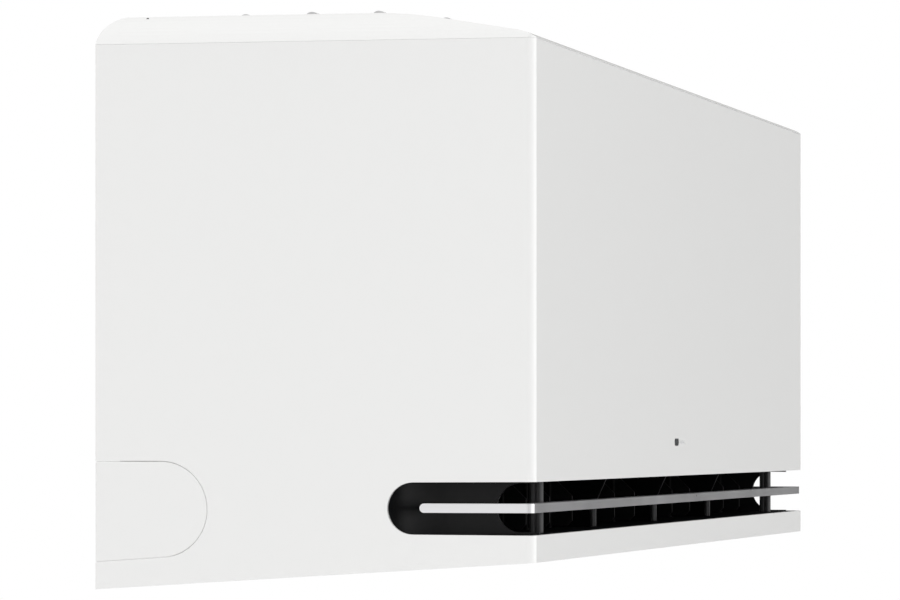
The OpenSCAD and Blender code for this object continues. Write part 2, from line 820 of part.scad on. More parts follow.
module coil_end_plates() {
    color("#9fa4a8") for (k = [0:2]) on_slab(k) for (x = [coil_x0, coil_x1 - 1.4])
        block([x, -coil_t / 2 - 1, 0], [x + 1.4, coil_t / 2 + 1, slabs[k][2]]);
}

module return_bends() {
    color("#b87333") for (k = [0:2]) on_slab(k) for (row = [-0.5, 0.5]) {
        tubes = floor((slabs[k][2] - 10) / tube_pitch);
        for (i = [0:2:tubes - 1]) translate([coil_x1, row * row_gap, 10 + tube_pitch * (i + 0.5)])
            rotate([90, 90, 0]) rotate_extrude(angle = 180) translate([tube_pitch / 2, 0]) circle(tube_r);
        for (i = [1:2:tubes - 1]) translate([coil_x0, row * row_gap, 10 + tube_pitch * (i + 0.5)])
            rotate([90, -90, 0]) rotate_extrude(angle = 180) translate([tube_pitch / 2,
                0]) circle(tube_r);
    }
}

pipe_y = -30;
pipe_bend = 20;

// A pipe that drops from the coil's end, turns and runs along the pipe bay towards -X.
module drop_pipe(x, z_top, z_run, r, bore, x_end) {
    difference() {
        rod_z(z_run + pipe_bend, z_top, x, pipe_y, r);
        rod_z(z_run + pipe_bend - 1, z_top + 1, x, pipe_y, bore);
    }
    translate([x - pipe_bend, pipe_y, z_run + pipe_bend]) rotate([90, 0, 0]) mirror([0, 1, 0])
        bend(pipe_bend, r, bore);
    difference() {
        rod_x(x_end, x - pipe_bend, pipe_y, z_run, r);
        rod_x(x_end - 1, x - pipe_bend + 1, pipe_y, z_run, bore);
    }
}

liquid_r = 3.175;
gas_r = 4.76;
liquid_z = base_z + 24;
gas_z = base_z + 46;
liquid_end = 60;
gas_end = 20;

module liquid_pipe() {
    color("#b87333") drop_pipe(372, 20, liquid_z, liquid_r, liquid_r - 0.8, liquid_end);
}

module gas_pipe() {
    color("#b87333") drop_pipe(352, 20, gas_z, gas_r, gas_r - 0.8, gas_end);
}

// Male flare end brazed on a pipe that ends at x; its thread is drawn as a plain spigot.
module flare_union(x, z, pipe, spigot, length, across) {
    translate([x, pipe_y, z]) rotate([0, -90, 0]) difference() {
        union() {
            translate([0, 0, -6]) cylinder(r = pipe + 1.6, h = 7);
            cylinder(r = across / 2 / cos(30), h = 9, $fn = 6);
            cylinder(r = spigot, h = 9 + length);
        }
        translate([0, 0, -7]) cylinder(r = pipe + 0.05, h = 10);
        cylinder(r = pipe - 0.8, h = 30);
    }
}

module flare_unions() {
    color("#c9a348") {
        flare_union(liquid_end, liquid_z, liquid_r, 5.56, 12, 14);
        flare_union(gas_end, gas_z, gas_r, 7.94, 14, 19);
    }
}

module coil_sensor() {
    color("#b87333") on_slab(0)
        rod_z(30, 62, coil_x1 + 20, coil_t / 2 + 6, 3);
}

// --- electrics ---

box_x0 = 350;
box_x1 = half_w - 9;
box_y0 = front_y + 9;
box_y1 = fan_y - 54;
box_z0 = tray_z + 22;
box_z1 = crease_z - 14;

module control_box() {
    t = 2;
    color("#e4e4e0") difference() {
        block([box_x0, box_y0 + 3, box_z0], [box_x1, box_y1, box_z1]);
        block([box_x0 + t, box_y0 + 1, box_z0 + t], [box_x1 - t, box_y1 - t, box_z1 - t]);
    }
}

module control_box_cover() {
    color("#c9ccce") block([box_x0, box_y0 + 1.2, box_z0], [box_x1, box_y0 + 2.8, box_z1]);
}

module main_board() {
    color("#1f6b3b") block([box_x0 + 4, box_y1 - 10, box_z0 + 34], [box_x1 - 4, box_y1 - 8.4,
        box_z1 - 6]);
}

module board_parts() {
    y = box_y1 - 10;
    color("#2b2d30") {
        for (i = [0:2]) rod_y(y - 26, y, box_x0 + 16 + 20 * i, box_z1 - 22, 8);
        block([box_x0 + 10, y - 22, box_z1 - 84], [box_x0 + 46, y, box_z1 - 50]);
        block([box_x0 + 54, y - 18, box_z1 - 76], [box_x0 + 74, y, box_z1 - 44]);
        for (i = [0:3]) block([box_x0 + 10 + 17 * i, y - 12, box_z0 + 40], [box_x0 + 20 + 17 * i, y,
            box_z0 + 52]);
    }
}

module terminal_block() {
    color("#33363a") difference() {
        block([box_x0 + 8, box_y1 - 24, box_z0 + 6], [box_x1 - 8, box_y1 - 4, box_z0 + 26]);
        for (i = [0:3]) rod_y(box_y1 - 25, box_y1 - 14, box_x0 + 20 + 16 * i, box_z0 + 16, 4.5);
    }
}

press = 1.2;

module manual_button() {
    z = base_at(button_at[1]);
    color("#dddddd") {
        rod_z(z - 0.8, z + 8, button_at[0], button_at[1], button_r);
        rod_z(z + 7.4, z + 9, button_at[0], button_at[1], button_r + 1.4);
    }
}

module button_switch() {
    z = base_at(button_at[1]) + 9 + press + 0.3;
    color("#2b2d30") block([button_at[0] - 5, button_at[1] - 5, z], [button_at[0] + 5,
        button_at[1] + 5, slot_z0 - liner_t - 0.2]);
}

// --- wall plate and fasteners ---

module wall_plate() {
    w = 300;
    color("#b4b8bb") difference() {
        union() {
            block([-w, -plate_t, -84], [w, 0, 84]);
            // folded hooks that carry the chassis
            for (x = hook_xs) {
                block([x - 14, -17, 89.5], [x + 14, 0, 89.5 + plate_t]);
                block([x - 14, -plate_t, 83], [x + 14, 0, 89.6]);
                block([x - 14, -17, 89.5], [x + 14, -17 + plate_t, 96.5]);
            }
        }
        for (x = [-screw_x / 2, screw_x / 2]) for (z = [-screw_z / 2, screw_z / 2])
            rod_y(-2, 1, x, z, screw_hole_r);
        // lightening windows
        both_sides() {
            block([40, -2, -50], [190, 1, -10]);
            block([40, -2, 14], [190, 1, 54]);
            block([250, -2, -50], [284, 1, 50]);
        }
    }
}

module chassis_clips() {
    color("#b4b8bb") both_sides() {
        block([200, back_y + 0.2, -94], [230, back_y + 1.4, -84.6]);
        block([200, back_y + 1.4, -86], [230, -plate_t - 0.2, -84.6]);
        block([200, -plate_t - 1.4, -84.8], [230, -plate_t - 0.2, -80]);
    }
}

module casing_screws() {
    color("silver") for (x = screw_xs) {
        rod_z(base_at(screw_y) + 2.6, base_at(screw_y) + 4.8, x, screw_y, 4);
        rod_z(base_at(screw_y) + 4.7, slot_z0 - 1.2, x, screw_y, 1.9);
    }
}

front_casing();
top_cover();
for (s = side_list) {
    air_filter(s);
    pipe_cover(s);
    link_bar(s);
    for (i = [1:blades]) swing_blade(s, i);
}
receiver_window();
status_lights();
wrap_louvre();
louvre_pins();
louvre_motor();
outlet_frame();
duct_cheeks();
duct_ribs();
swing_motors();
rear_chassis();
fan_scroll();
drain_tray();
drain_pipe();
drain_plug();
crossflow_fan();
fan_shaft();
fan_bearing();
bearing_mount();
fan_motor();
motor_clamp();
coil_slab(0);  // coil_front_lower
coil_slab(1);  // coil_front_upper
coil_slab(2);  // coil_rear
coil_end_plates();
return_bends();
liquid_pipe();
gas_pipe();
flare_unions();
control_box();
control_box_cover();
main_board();
board_parts();
terminal_block();
display_board();
coil_sensor();
manual_button();
button_switch();
wall_plate();
chassis_clips();
casing_screws();
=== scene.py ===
"""Finishes the wall-hung air conditioner: its mouldings, coil, pipes, fasteners and studio."""

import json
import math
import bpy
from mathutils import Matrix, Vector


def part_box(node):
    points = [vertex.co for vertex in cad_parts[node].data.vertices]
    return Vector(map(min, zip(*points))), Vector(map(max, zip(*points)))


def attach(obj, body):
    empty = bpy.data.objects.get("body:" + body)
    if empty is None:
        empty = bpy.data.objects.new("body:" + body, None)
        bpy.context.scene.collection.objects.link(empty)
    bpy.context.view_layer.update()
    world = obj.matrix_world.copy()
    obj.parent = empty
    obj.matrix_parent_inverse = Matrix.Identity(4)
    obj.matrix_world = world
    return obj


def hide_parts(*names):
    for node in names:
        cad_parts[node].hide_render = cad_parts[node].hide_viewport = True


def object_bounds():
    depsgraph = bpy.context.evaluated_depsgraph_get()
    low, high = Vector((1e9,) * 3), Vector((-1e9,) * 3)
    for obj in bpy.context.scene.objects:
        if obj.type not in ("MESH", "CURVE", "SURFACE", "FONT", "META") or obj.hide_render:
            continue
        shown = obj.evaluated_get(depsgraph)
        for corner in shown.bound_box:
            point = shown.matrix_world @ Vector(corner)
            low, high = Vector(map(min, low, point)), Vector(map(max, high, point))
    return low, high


bl_info = {
    "name": "Wall Air Conditioner",
    "version": (1, 0, 0),
    "blender": (4, 5, 0),
    "location": "3D View > Sidebar > Air Conditioner",
    "description": "Builds the finished pieces of a wall-hung air conditioner on its frame",
    "category": "Object",
}

import bmesh
import bpy
from mathutils import Vector

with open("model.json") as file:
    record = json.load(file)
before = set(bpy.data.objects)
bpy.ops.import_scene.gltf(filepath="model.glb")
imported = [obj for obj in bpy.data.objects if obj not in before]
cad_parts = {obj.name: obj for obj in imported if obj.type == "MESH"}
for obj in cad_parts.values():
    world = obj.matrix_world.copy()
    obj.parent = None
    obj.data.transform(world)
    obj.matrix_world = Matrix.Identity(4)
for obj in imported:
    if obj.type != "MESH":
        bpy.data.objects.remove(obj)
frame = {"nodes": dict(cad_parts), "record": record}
FRAME_LOW, FRAME_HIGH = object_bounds()
NODE_BODY = {
    node: body
    for body, nodes in frame["record"]["behaviour"]["bodies"].items()
    for node in nodes
}
SIDES = ("left", "right")
CREASE = 0.135  # height of the line where the top cover meets the casing
CREASE_REACH = 0.0004
PIN_PLACE = (0.4344, -0.0255, 0.1482)  # a cover pin; the left one has its X turned round
PIN_LEAN = math.radians(52)
RIB_PLACES = (-0.1869, 0.0, 0.1869)
RIB_FRONT = -0.2163
NOSE_RADIUS = 0.002
NOSE_LOW, NOSE_HIGH = -0.1209, -0.1095
RIB_REACH = 0.25  # the ribs stand within this distance of the middle, the posts beyond it
SCREW_PLACES = (-0.3, 0.0, 0.3)
SLOT_CUTS = ((0.0009, 0.0042, 0.0022), (0.0042, 0.0009, 0.0022))
NET_MARGIN = 0.007
FIN_THICKNESS = 0.00018
FIN_FOLDS, FIN_FOLD_DEPTH = 8, 0.00035
FIN_FIT = 0.998
TUBE_RADIUS = 0.0035
TUBE_ROWS = (-0.0065, 0.0065)
TUBE_START, TUBE_PITCH, TUBE_END = 0.010, 0.021, 0.004
THREAD_PITCH = 0.0014
BEAD_HEIGHTS = (-0.068, 0.070)
BEAD_OUT, BEAD_BACK, BEAD_CUT = 0.115, -0.0012, -0.0006
DUST_COLOUR = (0.42, 0.4, 0.37)
RUBBED_BLACK = (0.05, 0.05, 0.05)


# --- sizes and colours that a user would change ---


class AirconLooks(bpy.types.PropertyGroup):
    """Colours and edge sizes of the finished pieces."""

    shell_colour: bpy.props.FloatVectorProperty(
        name="Shell Colour", description="White of the casing and its covers",
        subtype="COLOR", size=3, min=0, max=1, default=(0.83, 0.83, 0.825))
    liner_colour: bpy.props.FloatVectorProperty(
        name="Liner Colour", description="Black of the air duct behind the slot",
        subtype="COLOR", size=3, min=0, max=1, default=(0.004, 0.004, 0.005))
    louvre_colour: bpy.props.FloatVectorProperty(
        name="Louvre Colour", description="Silver of the louvre in the slot",
        subtype="COLOR", size=3, min=0, max=1, default=(0.80, 0.80, 0.81))
    filter_colour: bpy.props.FloatVectorProperty(
        name="Filter Colour", description="Light grey of the filter frames",
        subtype="COLOR", size=3, min=0, max=1, default=(0.62, 0.62, 0.62))
    shell_edge: bpy.props.FloatProperty(
        name="Shell Edge", description="Rounding of the casing's edges",
        unit="LENGTH", min=0.0, max=0.002, default=0.0006, precision=5)
    louvre_edge: bpy.props.FloatProperty(
        name="Louvre Edge", description="Rounding of the louvre's long edges",
        unit="LENGTH", min=0.0, max=0.002, default=0.0011, precision=5)
    port_edge: bpy.props.FloatProperty(
        name="Port Edge", description="Rounding round the pipe covers",
        unit="LENGTH", min=0.0, max=0.0015, default=0.0007, precision=5)
    fin_pitch: bpy.props.FloatProperty(
        name="Fin Pitch", description="Distance between neighbouring coil fins",
        unit="LENGTH", min=0.0015, max=0.01, default=0.0026, precision=5)


class AirconStudio(bpy.types.PropertyGroup):
    """Camera, floor and light."""

    lens: bpy.props.FloatProperty(
        name="Lens", description="Focal length in millimetres on a 36 mm sensor",
        min=20, max=400, default=206.3)
    camera_place: bpy.props.FloatVectorProperty(
        name="Camera Place", description="Where the camera stands",
        subtype="TRANSLATION", unit="LENGTH", size=3, default=(-3.0375, -0.7760, -0.0683))
    camera_turn: bpy.props.FloatProperty(
        name="Camera Turn", description="Heading of the level camera",
        subtype="ANGLE", default=math.radians(-77.27))
    camera_rise: bpy.props.FloatProperty(
        name="Camera Rise", description="Upward shift of the lens", default=0.148)
    floor_drop: bpy.props.FloatProperty(
        name="Floor Drop", description="Distance from the unit down to the floor",
        unit="LENGTH", min=0.1, max=3, default=0.75)
    even_level: bpy.props.FloatProperty(
        name="Even Level", description="Strength of the even light all round",
        min=0, max=4, default=0.40)
    key_level: bpy.props.FloatProperty(
        name="Key Level", description="Strength of the broad light from the upper left",
        min=0, max=4, default=1.02)
    key_from: bpy.props.FloatVectorProperty(
        name="Key From", description="Direction that the light at the upper left comes from",
        subtype="DIRECTION", size=3, default=(-0.664, 0.242, 0.707))
    fill_level: bpy.props.FloatProperty(
        name="Fill Level", description="Strength of the broad light on the front",
        min=0, max=4, default=1.6)
    fill_from: bpy.props.FloatVectorProperty(
        name="Fill From", description="Direction that the light on the front comes from",
        subtype="DIRECTION", size=3, default=(0.483, -0.837, 0.259))
    card_level: bpy.props.FloatProperty(
        name="Card Level", description="How much light the dark card at the far right lets by",
        min=0, max=1, default=0.12)


# --- modelling helpers ---


def pick(*objects):
    """Selects only these objects, the first of them active."""
    if bpy.context.object and bpy.context.object.mode != "OBJECT":
        bpy.ops.object.mode_set(mode="OBJECT")
    bpy.ops.object.select_all(action="DESELECT")
    for obj in objects:
        obj.select_set(True)
    bpy.context.view_layer.objects.active = objects[0]


def apply_modifier(obj, kind, **settings):
    """Adds a modifier with these settings and applies it."""
    pick(obj)
    modifier = obj.modifiers.new(kind.lower(), kind)
    for key, value in settings.items():
        setattr(modifier, key, value)
    bpy.ops.object.modifier_apply(modifier=modifier.name)


def round_edges(obj, width, segments=2, angle=28):
    """Rounds every edge sharper than the angle, all by the same width."""
    if width > 0:
        apply_modifier(obj, "BEVEL", width=width, segments=segments, limit_method="ANGLE",
                       angle_limit=math.radians(angle), use_clamp_overlap=True, profile=0.5)


def round_most_edges(obj, width, segments, angle, weigh):
    """Rounds the edges sharper than the angle, each by its own share of the width."""
    mesh = bmesh.new()
    mesh.from_mesh(obj.data)
    weight = mesh.edges.layers.float.new("bevel_weight_edge")
    for edge in mesh.edges:
        if len(edge.link_faces) == 2 and edge.calc_face_angle(0) > math.radians(angle):
            edge[weight] = weigh((edge.verts[0].co + edge.verts[1].co) / 2)
    mesh.to_mesh(obj.data)
    mesh.free()
    apply_modifier(obj, "BEVEL", width=width, segments=segments, limit_method="WEIGHT",
                   use_clamp_overlap=True, profile=0.5)


def soft_shade(obj, angle=32):
    """Smooth shading that keeps flat faces flat."""
    pick(obj)
    bpy.ops.object.shade_smooth_by_angle(angle=math.radians(angle))
    apply_modifier(obj, "WEIGHTED_NORMAL", mode="FACE_AREA", weight=100, keep_sharp=True)


def in_edit(obj, work):
    """Runs some edit-mode operators on all of an object's mesh."""
    pick(obj)
    bpy.ops.object.mode_set(mode="EDIT")
    bpy.ops.mesh.select_all(action="SELECT")
    work()
    bpy.ops.object.mode_set(mode="OBJECT")


def merge_flats():
    """Joins loose triangles into whole faces."""
    bpy.ops.mesh.remove_doubles(threshold=0.000008)
    bpy.ops.mesh.dissolve_limited(angle_limit=math.radians(0.35))


def settle(obj):
    """Puts an object's place, turn and size into its mesh."""
    pick(obj)
    bpy.ops.object.transform_apply(location=True, rotation=True, scale=True)


def fit_out(obj, body, material):
    """Gives a piece its material and the body that it rides on."""
    obj.data.materials.clear()
    obj.data.materials.append(material)
    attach(obj, body)
    return obj


def finished(node, material, name=None, edge=0.0003, segments=2, angle=28, smooth=32, weigh=None):
    """A finished copy of a frame node: joined faces, rounded edges, its own material."""
    source = frame["nodes"][node]
    obj = bpy.data.objects.new(name or node + "_finish", source.data.copy())
    bpy.context.scene.collection.objects.link(obj)
    in_edit(obj, merge_flats)
    if weigh:
        round_most_edges(obj, edge, segments, angle, weigh)
    else:
        round_edges(obj, edge, segments, angle)
    soft_shade(obj, smooth)
    fit_out(obj, NODE_BODY[node], material)
    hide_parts(node)
    return obj


def joined(name, objects):
    """Joins several objects into one with this name."""
    pick(*objects)
    if len(objects) > 1:
        bpy.ops.object.join()
    obj = bpy.context.object
    obj.name = name
    settle(obj)
    return obj


def bar_along_x(x0, x1, y, z, radius, sides=20, edge=0.0):
    """A round bar along X, its ends rounded."""
    bpy.ops.mesh.primitive_cylinder_add(
        vertices=sides, radius=radius, depth=x1 - x0, location=((x0 + x1) / 2, y, z),
        rotation=(0, math.pi / 2, 0))
    obj = bpy.context.object
    settle(obj)
    round_edges(obj, edge, 2, 50)
    return obj


# --- effects shared by several finishes ---


def effect_group(name, inputs, outputs):
    """A node group with named sockets; returns it and its two end nodes."""
    group = bpy.data.node_groups.new(name, "ShaderNodeTree")
    for label, kind, value in inputs:
        socket = group.interface.new_socket(name=label, in_out="INPUT", socket_type=kind)
        if value is not None:
            socket.default_value = value
    for label, kind in outputs:
        group.interface.new_socket(name=label, in_out="OUTPUT", socket_type=kind)
    start = group.nodes.new("NodeGroupInput")
    end = group.nodes.new("NodeGroupOutput")
    return group, start, end


def place(tree, kind, **settings):
    """Adds a node; settings that name a socket set it, the others set the node."""
    node = tree.nodes.new(kind)
    for key, value in settings.items():
        if hasattr(node, key):
            setattr(node, key, value)
        else:
            node.inputs[key.replace("_", " ")].default_value = value
    return node


def object_place(tree, scale=(1, 1, 1)):
    """Object coordinates, stretched by a Mapping node."""
    coordinates = tree.nodes.new("ShaderNodeTexCoord")
    mapping = tree.nodes.new("ShaderNodeMapping")
    mapping.inputs["Scale"].default_value = scale
    tree.links.new(coordinates.outputs["Object"], mapping.inputs["Vector"])
    return mapping.outputs["Vector"]


def ranged(tree, source, low=0.0, high=1.0, to_low=0.0, to_high=1.0, **settings):
    """Maps a value from one range to another."""
    node = place(tree, "ShaderNodeMapRange", **settings)
    ends = (("From Min", low), ("From Max", high), ("To Min", to_low), ("To Max", to_high))
    for name, value in ends:
        node.inputs[name].default_value = value
    tree.links.new(source, node.inputs["Value"])
    return node.outputs[0]


def computed(tree, operation, *values, **settings):
    """A Math node on these values, each a number or another node's output."""
    node = place(tree, "ShaderNodeMath", operation=operation, **settings)
    for socket, value in zip(node.inputs, values):
        if isinstance(value, float):
            socket.default_value = value
        else:
            tree.links.new(value, socket)
    return node.outputs[0]


def make_mould_grain():
    """Fine spark-eroded texture of moulded plastic, with a faint large ripple."""
    group, start, end = effect_group(
        "mould_grain",
        [("Scale", "NodeSocketFloat", 1800.0), ("Depth", "NodeSocketFloat", 0.05),
         ("Ripple", "NodeSocketFloat", 0.02)],
        [("Normal", "NodeSocketVector"), ("Speckle", "NodeSocketFloat")])
    where = object_place(group)
    fine = place(group, "ShaderNodeTexNoise", Detail=3.0, Roughness=0.6)
    wide = place(group, "ShaderNodeTexNoise", Scale=7.0, Detail=1.0)
    group.links.new(where, fine.inputs["Vector"])
    group.links.new(where, wide.inputs["Vector"])
    group.links.new(start.outputs["Scale"], fine.inputs["Scale"])
    low = place(group, "ShaderNodeBump", Distance=0.004)
    high = place(group, "ShaderNodeBump", Distance=0.0002)
    group.links.new(wide.outputs["Fac"], low.inputs["Height"])
    group.links.new(start.outputs["Ripple"], low.inputs["Strength"])
    group.links.new(fine.outputs["Fac"], high.inputs["Height"])
    group.links.new(start.outputs["Depth"], high.inputs["Strength"])
    group.links.new(low.outputs["Normal"], high.inputs["Normal"])
    group.links.new(high.outputs["Normal"], end.inputs["Normal"])
    group.links.new(fine.outputs["Fac"], end.inputs["Speckle"])
    return group


def make_handling():
    """Uneven sheen from wiping and handling, as a roughness value."""
    group, start, end = effect_group(
        "handling",
        [("Roughness", "NodeSocketFloat", 0.4), ("Spread", "NodeSocketFloat", 0.08),
         ("Scale", "NodeSocketFloat", 22.0)],
        [("Roughness", "NodeSocketFloat")])
    noise = place(group, "ShaderNodeTexNoise", Detail=5.0, Roughness=0.55)
    group.links.new(object_place(group), noise.inputs["Vector"])
    group.links.new(start.outputs["Scale"], noise.inputs["Scale"])
    centred = computed(group, "SUBTRACT", noise.outputs["Fac"], 0.5)
    sheen = computed(group, "MULTIPLY_ADD", centred, start.outputs["Spread"],
                     start.outputs["Roughness"])
    group.links.new(sheen, end.inputs["Roughness"])
    return group


def make_house_dust():
    """Where thin dust lies: broken patches on faces that look up."""
    group, start, end = effect_group(
        "house_dust", [("Amount", "NodeSocketFloat", 0.3), ("Scale", "NodeSocketFloat", 60.0)],
        [("Mask", "NodeSocketFloat")])
    geometry = place(group, "ShaderNodeNewGeometry")
    split = place(group, "ShaderNodeSeparateXYZ")
    noise = place(group, "ShaderNodeTexNoise", Detail=6.0, Roughness=0.7)
    group.links.new(object_place(group), noise.inputs["Vector"])
    group.links.new(start.outputs["Scale"], noise.inputs["Scale"])
    group.links.new(geometry.outputs["Normal"], split.inputs[0])
    upward = ranged(group, split.outputs["Z"], 0.45)
    patches = ranged(group, noise.outputs["Fac"], 0.35, 0.75)
    lying = computed(group, "MULTIPLY", upward, patches)
    mask = computed(group, "MULTIPLY", lying, start.outputs["Amount"], use_clamp=True)
    group.links.new(mask, end.inputs["Mask"])
    return group


def make_drawn_lines():
    """Fine lines left by drawing or brushing, with a normal and a mask."""
    group, start, end = effect_group(
        "drawn_lines",
        [("Place", "NodeSocketVector", None), ("Scale", "NodeSocketFloat", 1.0),
         ("Depth", "NodeSocketFloat", 0.08)],
        [("Normal", "NodeSocketVector"), ("Lines", "NodeSocketFloat")])
    noise = place(group, "ShaderNodeTexNoise", Detail=4.0, Roughness=0.65)
    bump = place(group, "ShaderNodeBump", Distance=0.0002)
    group.links.new(start.outputs["Place"], noise.inputs["Vector"])
    group.links.new(start.outputs["Scale"], noise.inputs["Scale"])
    group.links.new(noise.outputs["Fac"], bump.inputs["Height"])
    group.links.new(start.outputs["Depth"], bump.inputs["Strength"])
    group.links.new(bump.outputs["Normal"], end.inputs["Normal"])
    group.links.new(noise.outputs["Fac"], end.inputs["Lines"])
    return group


def make_edge_rub():
    """Worn corners: lighter where the surface turns sharply, broken by noise."""
    group, start, end = effect_group(
        "edge_rub", [("Amount", "NodeSocketFloat", 0.4)], [("Mask", "NodeSocketFloat")])
    geometry = place(group, "ShaderNodeNewGeometry")
    noise = place(group, "ShaderNodeTexNoise", Scale=180.0, Detail=3.0)
    group.links.new(object_place(group), noise.inputs["Vector"])
    sharp = ranged(group, geometry.outputs["Pointiness"], 0.53, 0.62)
    rubbed = computed(group, "MULTIPLY", sharp, noise.outputs["Fac"])
    mask = computed(group, "MULTIPLY", rubbed, start.outputs["Amount"], use_clamp=True)
    group.links.new(mask, end.inputs["Mask"])
    return group


EFFECTS = {
    "mould_grain": make_mould_grain,
    "handling": make_handling,
    "house_dust": make_house_dust,
    "drawn_lines": make_drawn_lines,
    "edge_rub": make_edge_rub,
}


def use_effect(tree, name, **values):
    """Places a shared effect in a material, with its own values."""
    group = bpy.data.node_groups.get(name) or EFFECTS[name]()
    node = tree.nodes.new("ShaderNodeGroup")
    node.node_tree = group
    for key, value in values.items():
        node.inputs[key].default_value = value
    return node


# --- finishes ---


def blank_material(name):
    """A new material with one Principled BSDF; returns it, its tree and the shader."""
    material = bpy.data.materials.new(name)
    material.use_nodes = True
    tree = material.node_tree
    tree.nodes.clear()
    shader = tree.nodes.new("ShaderNodeBsdfPrincipled")
    output = tree.nodes.new("ShaderNodeOutputMaterial")
    tree.links.new(shader.outputs[0], output.inputs["Surface"])
    return material, tree, shader


def mixed(tree, mask, under, over):
    """Two colours mixed by a mask."""
    mix = tree.nodes.new("ShaderNodeMix")
    mix.data_type = "RGBA"
    for socket, value in ((mix.inputs[6], under), (mix.inputs[7], over)):
        if isinstance(value, (tuple, list)):
            socket.default_value = (*value[:3], 1.0)
        else:
            tree.links.new(value, socket)
    tree.links.new(mask, mix.inputs[0])
    return mix.outputs[2]


def shade(colour, factor):
    return tuple(min(1.0, c * factor) for c in colour)


def plastic(name, colour, rough, spread=0.06, grain=1800.0, depth=0.04, ripple=0.0,
            tone=0.02, dust=0.0, rub=0.0, level=0.5):
    """Moulded plastic: speckled colour, uneven sheen, fine grain, dust and rubbed edges."""
    found = bpy.data.materials.get(name)
    if found:
        return found
    material, tree, shader = blank_material(name)
    grain_node = use_effect(tree, "mould_grain", Scale=grain, Depth=depth, Ripple=ripple)
    body = mixed(tree, grain_node.outputs["Speckle"],
                 shade(colour, 1 - tone), shade(colour, 1 + tone))
    if rub:
        worn = use_effect(tree, "edge_rub", Amount=rub)
        rubbed = shade(colour, 1.6) if colour[0] > 0.02 else RUBBED_BLACK
        body = mixed(tree, worn.outputs["Mask"], body, rubbed)
    if dust:
        lying = use_effect(tree, "house_dust", Amount=dust)
        body = mixed(tree, lying.outputs["Mask"], body, DUST_COLOUR)
    tree.links.new(body, shader.inputs["Base Color"])
    sheen = use_effect(tree, "handling", Roughness=rough, Spread=spread)
    tree.links.new(sheen.outputs[0], shader.inputs["Roughness"])
    tree.links.new(grain_node.outputs["Normal"], shader.inputs["Normal"])
    shader.inputs["Specular IOR Level"].default_value = level
    return material


def metal(name, colour, rough, stretch=(6, 6, 6), lines=60.0, depth=0.05, tone=0.08,
          rub=0.0, spots=0.0, spot_colour=(0.2, 0.15, 0.1)):
    """Worked metal: drawn lines along one way, uneven sheen, stains and rubbed edges."""
    found = bpy.data.materials.get(name)
    if found:
        return found
    material, tree, shader = blank_material(name)
    drawn = use_effect(tree, "drawn_lines", Scale=lines, Depth=depth)
    tree.links.new(object_place(tree, stretch), drawn.inputs["Place"])
    body = mixed(tree, drawn.outputs["Lines"], shade(colour, 1 - tone), shade(colour, 1 + tone))
    if spots:
        noise = place(tree, "ShaderNodeTexNoise", Scale=35.0, Detail=6.0, Roughness=0.7)
        tree.links.new(object_place(tree), noise.inputs["Vector"])
        stain = ranged(tree, noise.outputs["Fac"], 0.55, 0.8, 0.0, spots)
        body = mixed(tree, stain, body, spot_colour)
    if rub:
        worn = use_effect(tree, "edge_rub", Amount=rub)
        body = mixed(tree, worn.outputs["Mask"], body, shade(colour, 1.35))
    tree.links.new(body, shader.inputs["Base Color"])
    shader.inputs["Metallic"].default_value = 1.0
    sheen = use_effect(tree, "handling", Roughness=rough, Spread=0.12, Scale=40.0)
    tree.links.new(sheen.outputs[0], shader.inputs["Roughness"])
    tree.links.new(drawn.outputs["Normal"], shader.inputs["Normal"])
    return material


def white_shell():
    looks = bpy.context.scene.aircon_looks
    return plastic("white_shell", tuple(looks.shell_colour), 0.34, spread=0.05, grain=2600.0,
                   depth=0.03, ripple=0.012, tone=0.006)


def liner_black_painted_shade():
    """Dull black of the duct's floor and ceiling, at half the liner colour as painted shade inside
    the duct; it also paints the shade on the ribs' sides.
    """
    looks = bpy.context.scene.aircon_looks
    # half the liner colour: painted shade inside the duct
    return plastic("liner_black_painted_shade", shade(looks.liner_colour, 0.5), 0.5, spread=0.12, grain=900.0,
                   depth=0.02, tone=0.1, level=0.06)


def cheek_black():
    """Satin black of the duct's rounded ends."""
    looks = bpy.context.scene.aircon_looks
    return plastic("cheek_black", tuple(looks.liner_colour), 0.4, spread=0.1, grain=900.0,
                   depth=0.02, tone=0.1, dust=0.02, level=0.34)


# Near-black, darker than the duct liner: painted shade for the blades and link bars deep in the
# duct.
def blade_black_painted_shade():
    return plastic("blade_black_painted_shade", (0.002, 0.002, 0.0022), 0.6, grain=1500.0, depth=0.06, tone=0.15,
                   level=0.2)


def post_satin():
    """Satin black of the posts and ribs, a little paler than the duct's walls."""
    return plastic("post_satin", (0.045, 0.045, 0.047), 0.42, spread=0.1, grain=1100.0, depth=0.04,
                   tone=0.12, dust=0.04)


def louvre_silver():
    """Satin silver coating over a moulded bar, with lines that run round the bar."""
    looks = bpy.context.scene.aircon_looks
    return metal("louvre_silver", tuple(looks.louvre_colour), 0.3, stretch=(3, 3, 900), lines=3.0,
                 depth=0.04, tone=0.02, rub=0.1)


def filter_grey():
    looks = bpy.context.scene.aircon_looks
    return plastic("filter_grey", tuple(looks.filter_colour), 0.5, grain=1400.0, depth=0.06,
                   tone=0.03, dust=0.12)


